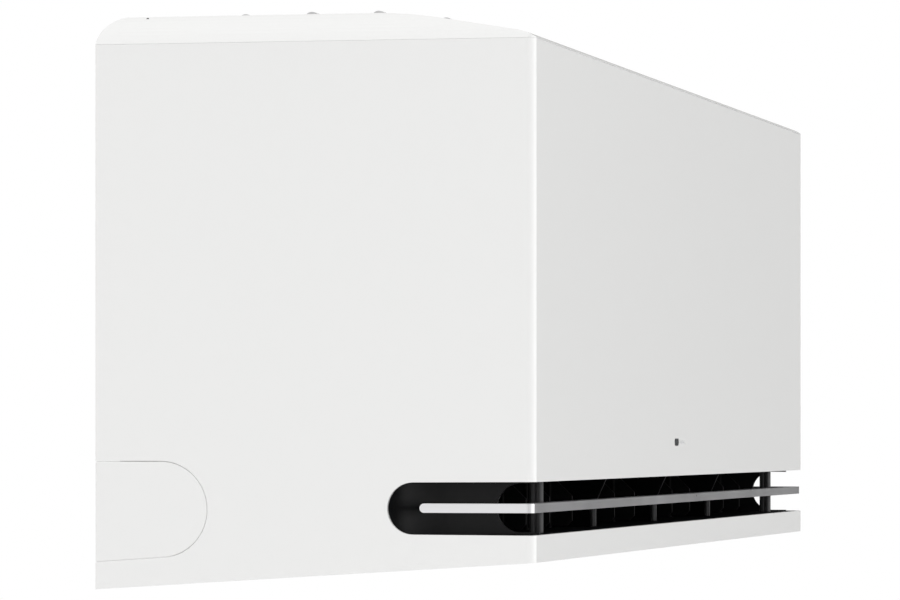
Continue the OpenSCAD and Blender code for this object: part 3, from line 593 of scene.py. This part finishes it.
def filter_net():
    """Filter cloth: a fine woven net in its frame, darker in its holes, with dust on it."""
    found = bpy.data.materials.get("filter_net")
    if found:
        return found
    material, tree, shader = blank_material("filter_net")
    where = object_place(tree)
    waves = []
    for direction in ("X", "Y"):
        wave = place(tree, "ShaderNodeTexWave", wave_type="BANDS", bands_direction=direction,
                     wave_profile="SIN", Scale=170.0, Distortion=0.15, Detail=1.0)
        tree.links.new(where, wave.inputs["Vector"])
        waves.append(wave.outputs["Fac"])
    mask = ranged(tree, computed(tree, "MAXIMUM", *waves), 0.55, 0.9)
    body = mixed(tree, mask, (0.06, 0.061, 0.062), (0.42, 0.42, 0.415))
    lying = use_effect(tree, "house_dust", Amount=0.35, Scale=25.0)
    body = mixed(tree, lying.outputs["Mask"], body, (0.3, 0.29, 0.27))
    bump = place(tree, "ShaderNodeBump", Distance=0.0006, Strength=0.6)
    tree.links.new(mask, bump.inputs["Height"])
    tree.links.new(body, shader.inputs["Base Color"])
    tree.links.new(bump.outputs["Normal"], shader.inputs["Normal"])
    sheen = use_effect(tree, "handling", Roughness=0.6, Spread=0.1)
    tree.links.new(sheen.outputs[0], shader.inputs["Roughness"])
    return material


def chassis_white():
    return plastic("chassis_white", (0.64, 0.64, 0.61), 0.48, grain=1100.0, depth=0.1, ripple=0.02,
                   tone=0.03, dust=0.3)


def drain_white():
    return plastic("drain_white", (0.6, 0.6, 0.57), 0.42, grain=900.0, depth=0.06, tone=0.03,
                   dust=0.15)


def fan_grey():
    return plastic("fan_grey", (0.03, 0.033, 0.037), 0.42, grain=1600.0, depth=0.08, tone=0.15,
                   dust=0.2)


def motor_resin():
    return plastic("motor_resin", (0.55, 0.55, 0.52), 0.5, grain=700.0, depth=0.12, tone=0.05,
                   dust=0.1)


def rubber_black():
    return plastic("rubber_black", (0.018, 0.018, 0.019), 0.72, grain=1300.0, depth=0.15,
                   tone=0.2, level=0.3)


def board_black():
    return plastic("board_black", (0.02, 0.02, 0.022), 0.45, grain=1500.0, depth=0.1, tone=0.2)


def smoked_lens():
    return plastic("smoked_lens", (0.3, 0.3, 0.31), 0.16, spread=0.05, grain=400.0,
                   depth=0.0, tone=0.02)


def light_guide():
    return plastic("light_guide", (0.5, 0.52, 0.54), 0.3, spread=0.1, grain=700.0, depth=0.05,
                   tone=0.05)


def zinc_steel():
    return metal("zinc_steel", (0.62, 0.63, 0.64), 0.32, stretch=(40, 40, 40), lines=14.0,
                 depth=0.05, rub=0.3, spots=0.12, spot_colour=(0.5, 0.48, 0.42))


def galvanised():
    """Galvanised sheet: flat crystals of differing brightness."""
    found = bpy.data.materials.get("galvanised")
    if found:
        return found
    material, tree, shader = blank_material("galvanised")
    crystals = place(tree, "ShaderNodeTexVoronoi", Scale=130.0, Randomness=1.0)
    tree.links.new(object_place(tree), crystals.inputs["Vector"])
    split = place(tree, "ShaderNodeSeparateColor")
    tree.links.new(crystals.outputs["Color"], split.inputs[0])
    body = mixed(tree, split.outputs[0], (0.5, 0.52, 0.54), (0.66, 0.68, 0.7))
    worn = use_effect(tree, "edge_rub", Amount=0.3)
    body = mixed(tree, worn.outputs["Mask"], body, (0.8, 0.81, 0.82))
    lying = use_effect(tree, "house_dust", Amount=0.25)
    body = mixed(tree, lying.outputs["Mask"], body, DUST_COLOUR)
    tree.links.new(body, shader.inputs["Base Color"])
    shader.inputs["Metallic"].default_value = 1.0
    tree.links.new(ranged(tree, split.outputs[1], to_low=0.3, to_high=0.52),
                   shader.inputs["Roughness"])
    bump = place(tree, "ShaderNodeBump", Distance=0.0002, Strength=0.15)
    tree.links.new(crystals.outputs["Distance"], bump.inputs["Height"])
    tree.links.new(bump.outputs["Normal"], shader.inputs["Normal"])
    return material


def copper_tube():
    return metal("copper_tube", (0.72, 0.36, 0.2), 0.3, stretch=(20, 20, 20), lines=12.0,
                 depth=0.05, tone=0.1, spots=0.55, spot_colour=(0.22, 0.09, 0.05))


def flare_brass():
    return metal("flare_brass", (0.72, 0.54, 0.25), 0.26, stretch=(60, 60, 60), lines=20.0,
                 depth=0.04, rub=0.3, spots=0.2, spot_colour=(0.3, 0.2, 0.08))


def bearing_bronze():
    return metal("bearing_bronze", (0.55, 0.38, 0.18), 0.4, stretch=(200, 20, 20), lines=8.0)


def fin_metal():
    return metal("fin_metal", (0.68, 0.7, 0.73), 0.36, stretch=(10, 60, 300), lines=8.0,
                 depth=0.06, tone=0.06, spots=0.1, spot_colour=(0.45, 0.46, 0.45))


def board_green():
    """Circuit board: green mask over a faint net of tracks."""
    found = bpy.data.materials.get("board_green")
    if found:
        return found
    material, tree, shader = blank_material("board_green")
    tracks = place(tree, "ShaderNodeTexBrick", Scale=140.0)
    tracks.inputs["Mortar Size"].default_value = 0.03
    tracks.inputs["Color1"].default_value = (0.012, 0.10, 0.045, 1)
    tracks.inputs["Color2"].default_value = (0.014, 0.13, 0.055, 1)
    tracks.inputs["Mortar"].default_value = (0.03, 0.2, 0.09, 1)
    tree.links.new(object_place(tree), tracks.inputs["Vector"])
    tree.links.new(tracks.outputs["Color"], shader.inputs["Base Color"])
    sheen = use_effect(tree, "handling", Roughness=0.3, Spread=0.1)
    tree.links.new(sheen.outputs[0], shader.inputs["Roughness"])
    return material


# --- pieces ---


class AIRCON_OT_shell(bpy.types.Operator):
    """Build the white casing, the top cover and the two small pins in its ends"""

    bl_idname = "aircon.shell"
    bl_label = "Casing and Top Cover"

    def execute(self, context):
        looks = context.scene.aircon_looks
        port_low, port_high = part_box("pipe_cover_left")
        reach = 0.0015

        def casing_share(place_at):
            """No rounding where cover and casing meet, more round the pipe openings."""
            if abs(place_at.z - CREASE) < CREASE_REACH:
                return 0.0
            by_port = (port_low.y - reach < place_at.y < port_high.y + reach
                       and port_low.z - reach < place_at.z < port_high.z + reach)
            return 1.0 if by_port else looks.shell_edge / looks.port_edge

        def cover_share(place_at):
            """No rounding where cover and casing meet."""
            return 0.0 if abs(place_at.z - CREASE) < CREASE_REACH else 1.0

        finished("front_casing", white_shell(), "casing_white", looks.port_edge, 3, 35, 30,
                 weigh=casing_share)
        finished("top_cover", white_shell(), "cover_white", looks.shell_edge * 0.5, 2, 26, 30,
                 weigh=cover_share)
        for side, sign in (("left", -1), ("right", 1)):
            bpy.ops.mesh.primitive_cylinder_add(
                vertices=20, radius=0.0008, depth=0.0012, rotation=(0, sign * PIN_LEAN, 0))
            pin = context.object
            settle(pin)
            pin.scale = (1, 1, 1.3)
            pin.location = (sign * PIN_PLACE[0], PIN_PLACE[1], PIN_PLACE[2])
            settle(pin)
            round_edges(pin, 0.0001, 2, 50)
            soft_shade(pin)
            pin.name = "cover_pin_" + side
            fit_out(pin, "casing", board_black())
        return {"FINISHED"}


class AIRCON_OT_filters(bpy.types.Operator):
    """Build both air filters: ribbed frames with a woven net across them"""

    bl_idname = "aircon.filters"
    bl_label = "Air Filters"

    def execute(self, context):
        for side in SIDES:
            obj = finished("air_filter_" + side, filter_grey(), "filter_" + side,
                           0.00025, 1, 40, 35)
            obj.data.materials.append(filter_net())
            low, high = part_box("air_filter_" + side)
            self.lay_net(obj, low, high)
        return {"FINISHED"}

    def lay_net(self, obj, low, high):
        """Gives the sheet between the ribs the net's material."""
        tree = bmesh.new()
        tree.from_mesh(obj.data)
        for face in tree.faces:
            middle = face.calc_center_median()
            inside = (low.x + NET_MARGIN < middle.x < high.x - NET_MARGIN
                      and low.y + NET_MARGIN < middle.y < high.y - NET_MARGIN)
            if inside and abs(face.normal.z) > 0.9 and face.calc_area() > 0.0001:
                face.material_index = 1
        tree.to_mesh(obj.data)
        tree.free()


class AIRCON_OT_port_covers(bpy.types.Operator):
    """Build the round-ended covers of the two pipe openings"""

    bl_idname = "aircon.port_covers"
    bl_label = "Pipe Covers"

    def execute(self, context):
        for side in SIDES:
            finished("pipe_cover_" + side, white_shell(), "port_cover_" + side,
                     context.scene.aircon_looks.port_edge, 3, 40, 30)
        return {"FINISHED"}


class AIRCON_OT_signals(bpy.types.Operator):
    """Build the receiver window, the status lights and the board behind them"""

    bl_idname = "aircon.signals"
    bl_label = "Receiver Window and Lights"

    def execute(self, context):
        finished("receiver_window", smoked_lens(), "window_smoked", 0.00025, 3, 40, 35)
        finished("status_lights", light_guide(), "lights_frosted", 0.00025, 3, 40, 35)
        finished("display_board", board_green(), "display_board_green", 0.0001, 1)
        return {"FINISHED"}


class AIRCON_OT_louvre(bpy.types.Operator):
    """Build the silver louvre that wraps round both sides, its pins and its motor"""

    bl_idname = "aircon.louvre"
    bl_label = "Louvre"

    def execute(self, context):
        edge = context.scene.aircon_looks.louvre_edge
        low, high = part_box("wrap_louvre")
        middle = (low.z + high.z) / 2
        finished("wrap_louvre", louvre_silver(), "louvre_satin", edge, 4, 40, 30,
                 weigh=lambda place_at: 1.0 if place_at.z > middle - 0.0001 else 0.25)
        finished("louvre_pins", zinc_steel(), "louvre_pins_steel", 0.0003, 2, 50)
        finished("louvre_motor", zinc_steel(), "louvre_motor_can", 0.0004, 2, 40)
        return {"FINISHED"}


class AIRCON_OT_liner(bpy.types.Operator):
    """Build the black duct: floor and ceiling, cheeks, posts and ribs"""

    bl_idname = "aircon.liner"
    bl_label = "Duct Liner"

    def execute(self, context):
        finished("outlet_frame", liner_black_painted_shade(), "duct_liner", 0.00025, 2, 40, 30)
        finished("duct_cheeks", cheek_black(), "duct_cheeks_satin", 0.00025, 2, 40, 35)
        ribs = finished("duct_ribs", post_satin(), "duct_ribs_satin", 0.0005, 3, 40, 35)
        # the liner black added here is painted shade on the ribs' sides, tops and bottoms
        ribs.data.materials.append(liner_black_painted_shade())
        self.paint_rib_side_shade(ribs)
        self.rib_noses()
        return {"FINISHED"}

    def paint_rib_side_shade(self, ribs):
        """Paints shade on the ribs' sides, tops and bottoms in the darker liner black, leaving only
        the ribs' upright front edges in the paler finish; the posts keep it.
        """
        for face in ribs.data.polygons:
            on_rib = abs(face.center.x) < RIB_REACH
            if on_rib and (abs(face.normal.x) > 0.8 or abs(face.normal.z) > 0.2):
                face.material_index = 1

    def rib_noses(self):
        """Rounded noses on the lower halves of the three ribs."""
        noses = []
        for x in RIB_PLACES:
            bpy.ops.mesh.primitive_cylinder_add(
                vertices=20, radius=NOSE_RADIUS, depth=NOSE_HIGH - NOSE_LOW,
                location=(x, RIB_FRONT + NOSE_RADIUS, (NOSE_LOW + NOSE_HIGH) / 2))
            nose = bpy.context.object
            settle(nose)
            round_edges(nose, 0.0004, 2, 50)
            noses.append(nose)
        run = joined("duct_rib_noses", noses)
        soft_shade(run, 40)
        fit_out(run, "casing", post_satin())


class AIRCON_OT_swing(bpy.types.Operator):
    """Build the twelve swing blades, their link bars and motors"""

    bl_idname = "aircon.swing"
    bl_label = "Swing Blades"

    def execute(self, context):
        for side in SIDES:
            for number in range(1, 7):
                node = f"swing_blade_{side}_{number}"
                finished(node, blade_black_painted_shade(), f"blade_{side}_{number}_moulded", 0.0003, 2, 40, 30)
            finished("link_bar_" + side, blade_black_painted_shade(), f"link_{side}_moulded", 0.0003, 2, 40, 30)
        finished("swing_motors", zinc_steel(), "swing_motor_cans", 0.0004, 2, 40)
        return {"FINISHED"}


class AIRCON_OT_fan(bpy.types.Operator):
    """Build the cross-flow fan, its shaft, bearing and motor"""

    bl_idname = "aircon.fan"
    bl_label = "Fan and Motor"

    def execute(self, context):
        finished("crossflow_fan", fan_grey(), "fan_moulded", 0.0, 1, 40, 35)
        finished("fan_shaft", zinc_steel(), "fan_shaft_ground", 0.0004, 2, 50)
        finished("fan_bearing", bearing_bronze(), "fan_bearing_bronze", 0.0004, 2, 50)
        finished("bearing_mount", rubber_black(), "bearing_mount_rubber", 0.0006, 3, 50)
        finished("fan_motor", motor_resin(), "fan_motor_resin", 0.0025, 4, 50, 35)
        finished("motor_clamp", galvanised(), "motor_clamp_steel", 0.0004, 2, 50)
        return {"FINISHED"}


class AIRCON_OT_coil(bpy.types.Operator):
    """Build the three coil slabs as fins on copper tubes, with their end plates"""

    bl_idname = "aircon.coil"
    bl_label = "Coil"

    def execute(self, context):
        pitch = context.scene.aircon_looks.fin_pitch
        for node in ("coil_front_lower", "coil_front_upper", "coil_rear"):
            self.fins(node, pitch)
        finished("coil_end_plates", galvanised(), "coil_plates_steel", 0.0003, 1, 40)
        finished("return_bends", copper_tube(), "coil_bends_copper", 0.0, 1, 40, 50)
        finished("coil_sensor", copper_tube(), "coil_sensor_copper", 0.0006, 3, 50)
        return {"FINISHED"}

    def fins(self, node, pitch):
        """Stacks folded fins through a slab, with two rows of tubes."""
        low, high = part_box(node)
        corners = []
        for vertex in frame["nodes"][node].data.vertices:
            if abs(vertex.co.x - low.x) < 0.0001:
                point = Vector((vertex.co.y, vertex.co.z))
                if all((point - other).length > 0.0005 for other in corners):
                    corners.append(point)
        first = corners[0]
        rest = sorted(corners[1:], key=lambda p: (p - first).length)
        across, along = rest[0] - first, rest[1] - first
        middle = sum(corners, Vector((0, 0))) / 4
        lean = math.atan2(-along.x, along.y)
        length, depth = along.length, across.length
        bpy.ops.mesh.primitive_cube_add(size=1, location=(0, 0, 0))
        fin = bpy.context.object
        fin.scale = (FIN_THICKNESS, depth * FIN_FIT, length * FIN_FIT)
        settle(fin)
        bpy.ops.object.mode_set(mode="EDIT")
        mesh = bmesh.from_edit_mesh(fin.data)
        for step in range(1, FIN_FOLDS):
            height = (step / FIN_FOLDS - 0.5) * length * FIN_FIT
            everything = mesh.verts[:] + mesh.edges[:] + mesh.faces[:]
            bmesh.ops.bisect_plane(
                mesh, geom=everything, plane_co=(0, 0, height), plane_no=(0, 0, 1))
        for vertex in mesh.verts:
            step = round((vertex.co.z / (length * FIN_FIT) + 0.5) * FIN_FOLDS)
            vertex.co.x += FIN_FOLD_DEPTH if step % 2 else 0.0
        bmesh.update_edit_mesh(fin.data)
        bpy.ops.object.mode_set(mode="OBJECT")
        fin.rotation_euler = (lean, 0, 0)
        fin.location = (low.x + 0.0006, middle.x, middle.y)
        settle(fin)
        count = int((high.x - low.x - 0.0012) / pitch)
        apply_modifier(fin, "ARRAY", count=count, use_relative_offset=False,
                       use_constant_offset=True, constant_offset_displace=(pitch, 0, 0))
        fin.name = node + "_fins"
        soft_shade(fin, 20)
        fit_out(fin, "casing", fin_metal())
        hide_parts(node)
        tubes = []
        up, out = along.normalized(), across.normalized()
        start = middle - up * length / 2
        for row in TUBE_ROWS:
            for number in range(int((length - TUBE_START) / TUBE_PITCH) + 1):
                rise = TUBE_START + TUBE_PITCH * number
                place_at = start + up * rise + out * row
                if rise < length - TUBE_END:
                    tubes.append(bar_along_x(low.x + 0.0002, high.x - 0.0002,
                                             place_at.x, place_at.y, TUBE_RADIUS, 12))
        run = joined(node + "_tubes", tubes)
        soft_shade(run, 40)
        fit_out(run, "casing", copper_tube())


class AIRCON_OT_pipes(bpy.types.Operator):
    """Build the refrigerant pipes and their threaded flare ends"""

    bl_idname = "aircon.pipes"
    bl_label = "Pipes and Flare Ends"

    def execute(self, context):
        finished("liquid_pipe", copper_tube(), "liquid_pipe_copper", 0.0, 1, 40, 50)
        finished("gas_pipe", copper_tube(), "gas_pipe_copper", 0.0, 1, 40, 50)
        finished("flare_unions", flare_brass(), "flare_ends_brass", 0.0004, 2, 40, 30)
        for name in ("liquid_flare", "gas_flare"):
            mount = next(m for m in frame["record"]["mounts"] if m["name"] == name)
            self.thread(name, mount)
        return {"FINISHED"}

    def thread(self, name, mount):
        """Raised thread ridges round a flare end."""
        radius = mount["dims"]["r_mm"] / 1000
        length = mount["dims"]["length_mm"] / 1000
        x, y, z = mount["pos_m"]
        turns = int((length - 0.004) / THREAD_PITCH)
        bpy.ops.mesh.primitive_torus_add(
            major_segments=40, minor_segments=6, major_radius=radius - 0.00012,
            minor_radius=0.00042, location=(x - turns * THREAD_PITCH / 2, y, z),
            rotation=(0, math.pi / 2, 0))
        ridge = bpy.context.object
        settle(ridge)
        apply_modifier(ridge, "ARRAY", count=turns, use_relative_offset=False,
                       use_constant_offset=True, constant_offset_displace=(THREAD_PITCH, 0, 0))
        ridge.name = name + "_thread"
        soft_shade(ridge, 60)
        fit_out(ridge, "casing", flare_brass())


class AIRCON_OT_drain(bpy.types.Operator):
    """Build the drain tray, pipe and plug"""

    bl_idname = "aircon.drain"
    bl_label = "Drain"

    def execute(self, context):
        finished("drain_tray", drain_white(), "drain_tray_moulded", 0.0003, 2, 35, 30)
        finished("drain_pipe", drain_white(), "drain_pipe_moulded", 0.0003, 2, 50, 45)
        finished("drain_plug", rubber_black(), "drain_plug_rubber", 0.0008, 3, 50, 35)
        return {"FINISHED"}


class AIRCON_OT_chassis(bpy.types.Operator):
    """Build the rear chassis and the fan's scroll"""

    bl_idname = "aircon.chassis"
    bl_label = "Rear Chassis"

    def execute(self, context):
        finished("rear_chassis", chassis_white(), "chassis_moulded", 0.0004, 2, 35, 30)
        finished("fan_scroll", chassis_white(), "fan_scroll_moulded", 0.0003, 2, 35, 30)
        return {"FINISHED"}


class AIRCON_OT_electrics(bpy.types.Operator):
    """Build the control box with its boards, the terminal block and the manual button"""

    bl_idname = "aircon.electrics"
    bl_label = "Electrics"

    def execute(self, context):
        finished("control_box", chassis_white(), "control_box_moulded", 0.0006, 2, 40)
        finished("control_box_cover", galvanised(), "control_cover_steel", 0.0004, 2, 40)
        finished("main_board", board_green(), "main_board_green", 0.0001, 1)
        finished("board_parts", board_black(), "board_parts_moulded", 0.0006, 2, 40, 35)
        finished("terminal_block", board_black(), "terminal_block_moulded", 0.0006, 2, 40, 35)
        finished("manual_button", white_shell(), "manual_button_white", 0.0005, 3, 50)
        finished("button_switch", board_black(), "button_switch_moulded", 0.0003, 2, 40)
        return {"FINISHED"}


class AIRCON_OT_wall_plate(bpy.types.Operator):
    """Build the galvanised wall plate with its pressed beads, and the lower clips"""

    bl_idname = "aircon.wall_plate"
    bl_label = "Wall Plate"

    def execute(self, context):
        finished("wall_plate", galvanised(), "wall_plate_steel", 0.0003, 2, 40)
        finished("chassis_clips", galvanised(), "chassis_clips_steel", 0.0003, 2, 40)
        beads = []
        for sign in (-1, 1):
            for z in BEAD_HEIGHTS:
                bpy.ops.mesh.primitive_cylinder_add(
                    vertices=16, radius=0.004, depth=0.17,
                    location=(sign * BEAD_OUT, BEAD_BACK, z), rotation=(0, math.pi / 2, 0))
                bead = context.object
                bead.scale = (1, 0.45, 1)
                settle(bead)
                round_edges(bead, 0.0016, 3, 50)
                beads.append(bead)
        pressed = joined("wall_plate_beads", beads)
        in_edit(pressed, lambda: bpy.ops.mesh.bisect(
            plane_co=(0, BEAD_CUT, 0), plane_no=(0, 1, 0), clear_outer=True, use_fill=True))
        soft_shade(pressed, 40)
        fit_out(pressed, "casing", galvanised())
        return {"FINISHED"}


class AIRCON_OT_fasteners(bpy.types.Operator):
    """Build the three casing screws with domed heads and crossed slots"""

    bl_idname = "aircon.fasteners"
    bl_label = "Casing Screws"

    def execute(self, context):
        screws = finished("casing_screws", zinc_steel(), "casing_screws_zinc", 0.0005, 3, 50)
        low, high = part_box("casing_screws")
        y = (low.y + high.y) / 2
        cutters = []
        for x in SCREW_PLACES:
            for size in SLOT_CUTS:
                bpy.ops.mesh.primitive_cube_add(size=1, location=(x, y, low.z))
                cutter = context.object
                cutter.scale = size
                settle(cutter)
                cutters.append(cutter)
        for cutter in cutters:
            apply_modifier(screws, "BOOLEAN", operation="DIFFERENCE", object=cutter, solver="EXACT")
        for cutter in cutters:
            bpy.data.objects.remove(cutter, do_unlink=True)
        soft_shade(screws, 32)
        return {"FINISHED"}


class AIRCON_OT_stage(bpy.types.Operator):
    """Set the floor, the soft light and the camera"""

    bl_idname = "aircon.stage"
    bl_label = "Studio"

    def execute(self, context):
        studio = context.scene.aircon_studio
        context.scene.view_settings.view_transform = "Standard"
        context.scene.view_settings.look = "None"
        self.floor(studio)
        self.sky(context.scene, studio)
        data = bpy.data.cameras.new("studio_camera")
        data.lens = studio.lens
        data.sensor_width = 36
        data.shift_y = studio.camera_rise
        data.clip_end = 60
        camera = bpy.data.objects.new("studio_camera", data)
        context.scene.collection.objects.link(camera)
        camera.location = studio.camera_place
        camera.rotation_euler = (math.pi / 2, 0, studio.camera_turn)
        context.scene.camera = camera
        return {"FINISHED"}

    def floor(self, studio):
        """A plain pale round floor under the unit."""
        bpy.ops.object.select_all(action="DESELECT")
        bpy.ops.mesh.primitive_circle_add(
            vertices=96, radius=6, fill_type="NGON",
            location=(0, 0, FRAME_LOW.z - studio.floor_drop))
        floor = bpy.context.object
        floor.name = "studio_floor"
        material, tree, shader = blank_material("studio_floor")
        shader.inputs["Base Color"].default_value = (0.86, 0.86, 0.86, 1)
        shader.inputs["Roughness"].default_value = 0.9
        shader.inputs["Specular IOR Level"].default_value = 0.1
        floor.data.materials.append(material)

    def sky(self, scene, studio):
        """Even light all round, one broad light at the upper left and one in front, a dark card."""
        world = bpy.data.worlds.new("studio_sky")
        scene.world = world
        world.use_nodes = True
        tree = world.node_tree
        tree.nodes.clear()
        coordinates = tree.nodes.new("ShaderNodeTexCoord")
        split = tree.nodes.new("ShaderNodeSeparateXYZ")
        tree.links.new(coordinates.outputs["Generated"], split.inputs[0])
        card = ranged(tree, split.outputs["X"], 0.6, 0.95, 1.0, studio.card_level,
                      interpolation_type="SMOOTHSTEP")
        level = studio.even_level
        lights = ((studio.key_from, studio.key_level), (studio.fill_from, studio.fill_level))
        for source, power in lights:
            toward = tree.nodes.new("ShaderNodeVectorMath")
            toward.operation = "DOT_PRODUCT"
            toward.inputs[1].default_value = Vector(source).normalized()
            tree.links.new(coordinates.outputs["Generated"], toward.inputs[0])
            facing = computed(tree, "MAXIMUM", toward.outputs["Value"], 0.0)
            squared = computed(tree, "POWER", facing, 2.0)
            level = computed(tree, "MULTIPLY_ADD", squared, power, level)
        strength = computed(tree, "MULTIPLY", level, card)
        soft = tree.nodes.new("ShaderNodeBackground")
        soft.inputs["Color"].default_value = (1, 1, 1, 1)
        tree.links.new(strength, soft.inputs["Strength"])
        plain = tree.nodes.new("ShaderNodeBackground")
        plain.inputs["Color"].default_value = (1, 1, 1, 1)
        plain.inputs["Strength"].default_value = 1.0
        rays = tree.nodes.new("ShaderNodeLightPath")
        mix = tree.nodes.new("ShaderNodeMixShader")
        output = tree.nodes.new("ShaderNodeOutputWorld")
        tree.links.new(rays.outputs["Is Camera Ray"], mix.inputs[0])
        tree.links.new(soft.outputs[0], mix.inputs[1])
        tree.links.new(plain.outputs[0], mix.inputs[2])
        tree.links.new(mix.outputs[0], output.inputs["Surface"])


# --- panel ---

STEPS = (
    AIRCON_OT_shell,
    AIRCON_OT_filters,
    AIRCON_OT_port_covers,
    AIRCON_OT_signals,
    AIRCON_OT_louvre,
    AIRCON_OT_liner,
    AIRCON_OT_swing,
    AIRCON_OT_fan,
    AIRCON_OT_coil,
    AIRCON_OT_pipes,
    AIRCON_OT_drain,
    AIRCON_OT_chassis,
    AIRCON_OT_electrics,
    AIRCON_OT_wall_plate,
    AIRCON_OT_fasteners,
    AIRCON_OT_stage,
)


class AIRCON_PT_sidebar(bpy.types.Panel):
    """Lists the sizes, the colours and every build step"""

    bl_label = "Air Conditioner"
    bl_idname = "AIRCON_PT_sidebar"
    bl_space_type = "VIEW_3D"
    bl_region_type = "UI"
    bl_category = "Air Conditioner"

    def draw(self, context):
        for group in (context.scene.aircon_looks, context.scene.aircon_studio):
            box = self.layout.box()
            for name in group.__annotations__:
                box.prop(group, name)
        for step in STEPS:
            self.layout.operator(step.bl_idname)


CLASSES = (AirconLooks, AirconStudio, *STEPS, AIRCON_PT_sidebar)


def register():
    for cls in CLASSES:
        bpy.utils.register_class(cls)
    bpy.types.Scene.aircon_looks = bpy.props.PointerProperty(type=AirconLooks)
    bpy.types.Scene.aircon_studio = bpy.props.PointerProperty(type=AirconStudio)


def unregister():
    del bpy.types.Scene.aircon_studio
    del bpy.types.Scene.aircon_looks
    for cls in reversed(CLASSES):
        bpy.utils.unregister_class(cls)


def main():
    register()
    for step in STEPS:
        group, name = step.bl_idname.split(".")
        getattr(getattr(bpy.ops, group), name)()


if __name__ == "__main__":
    main()
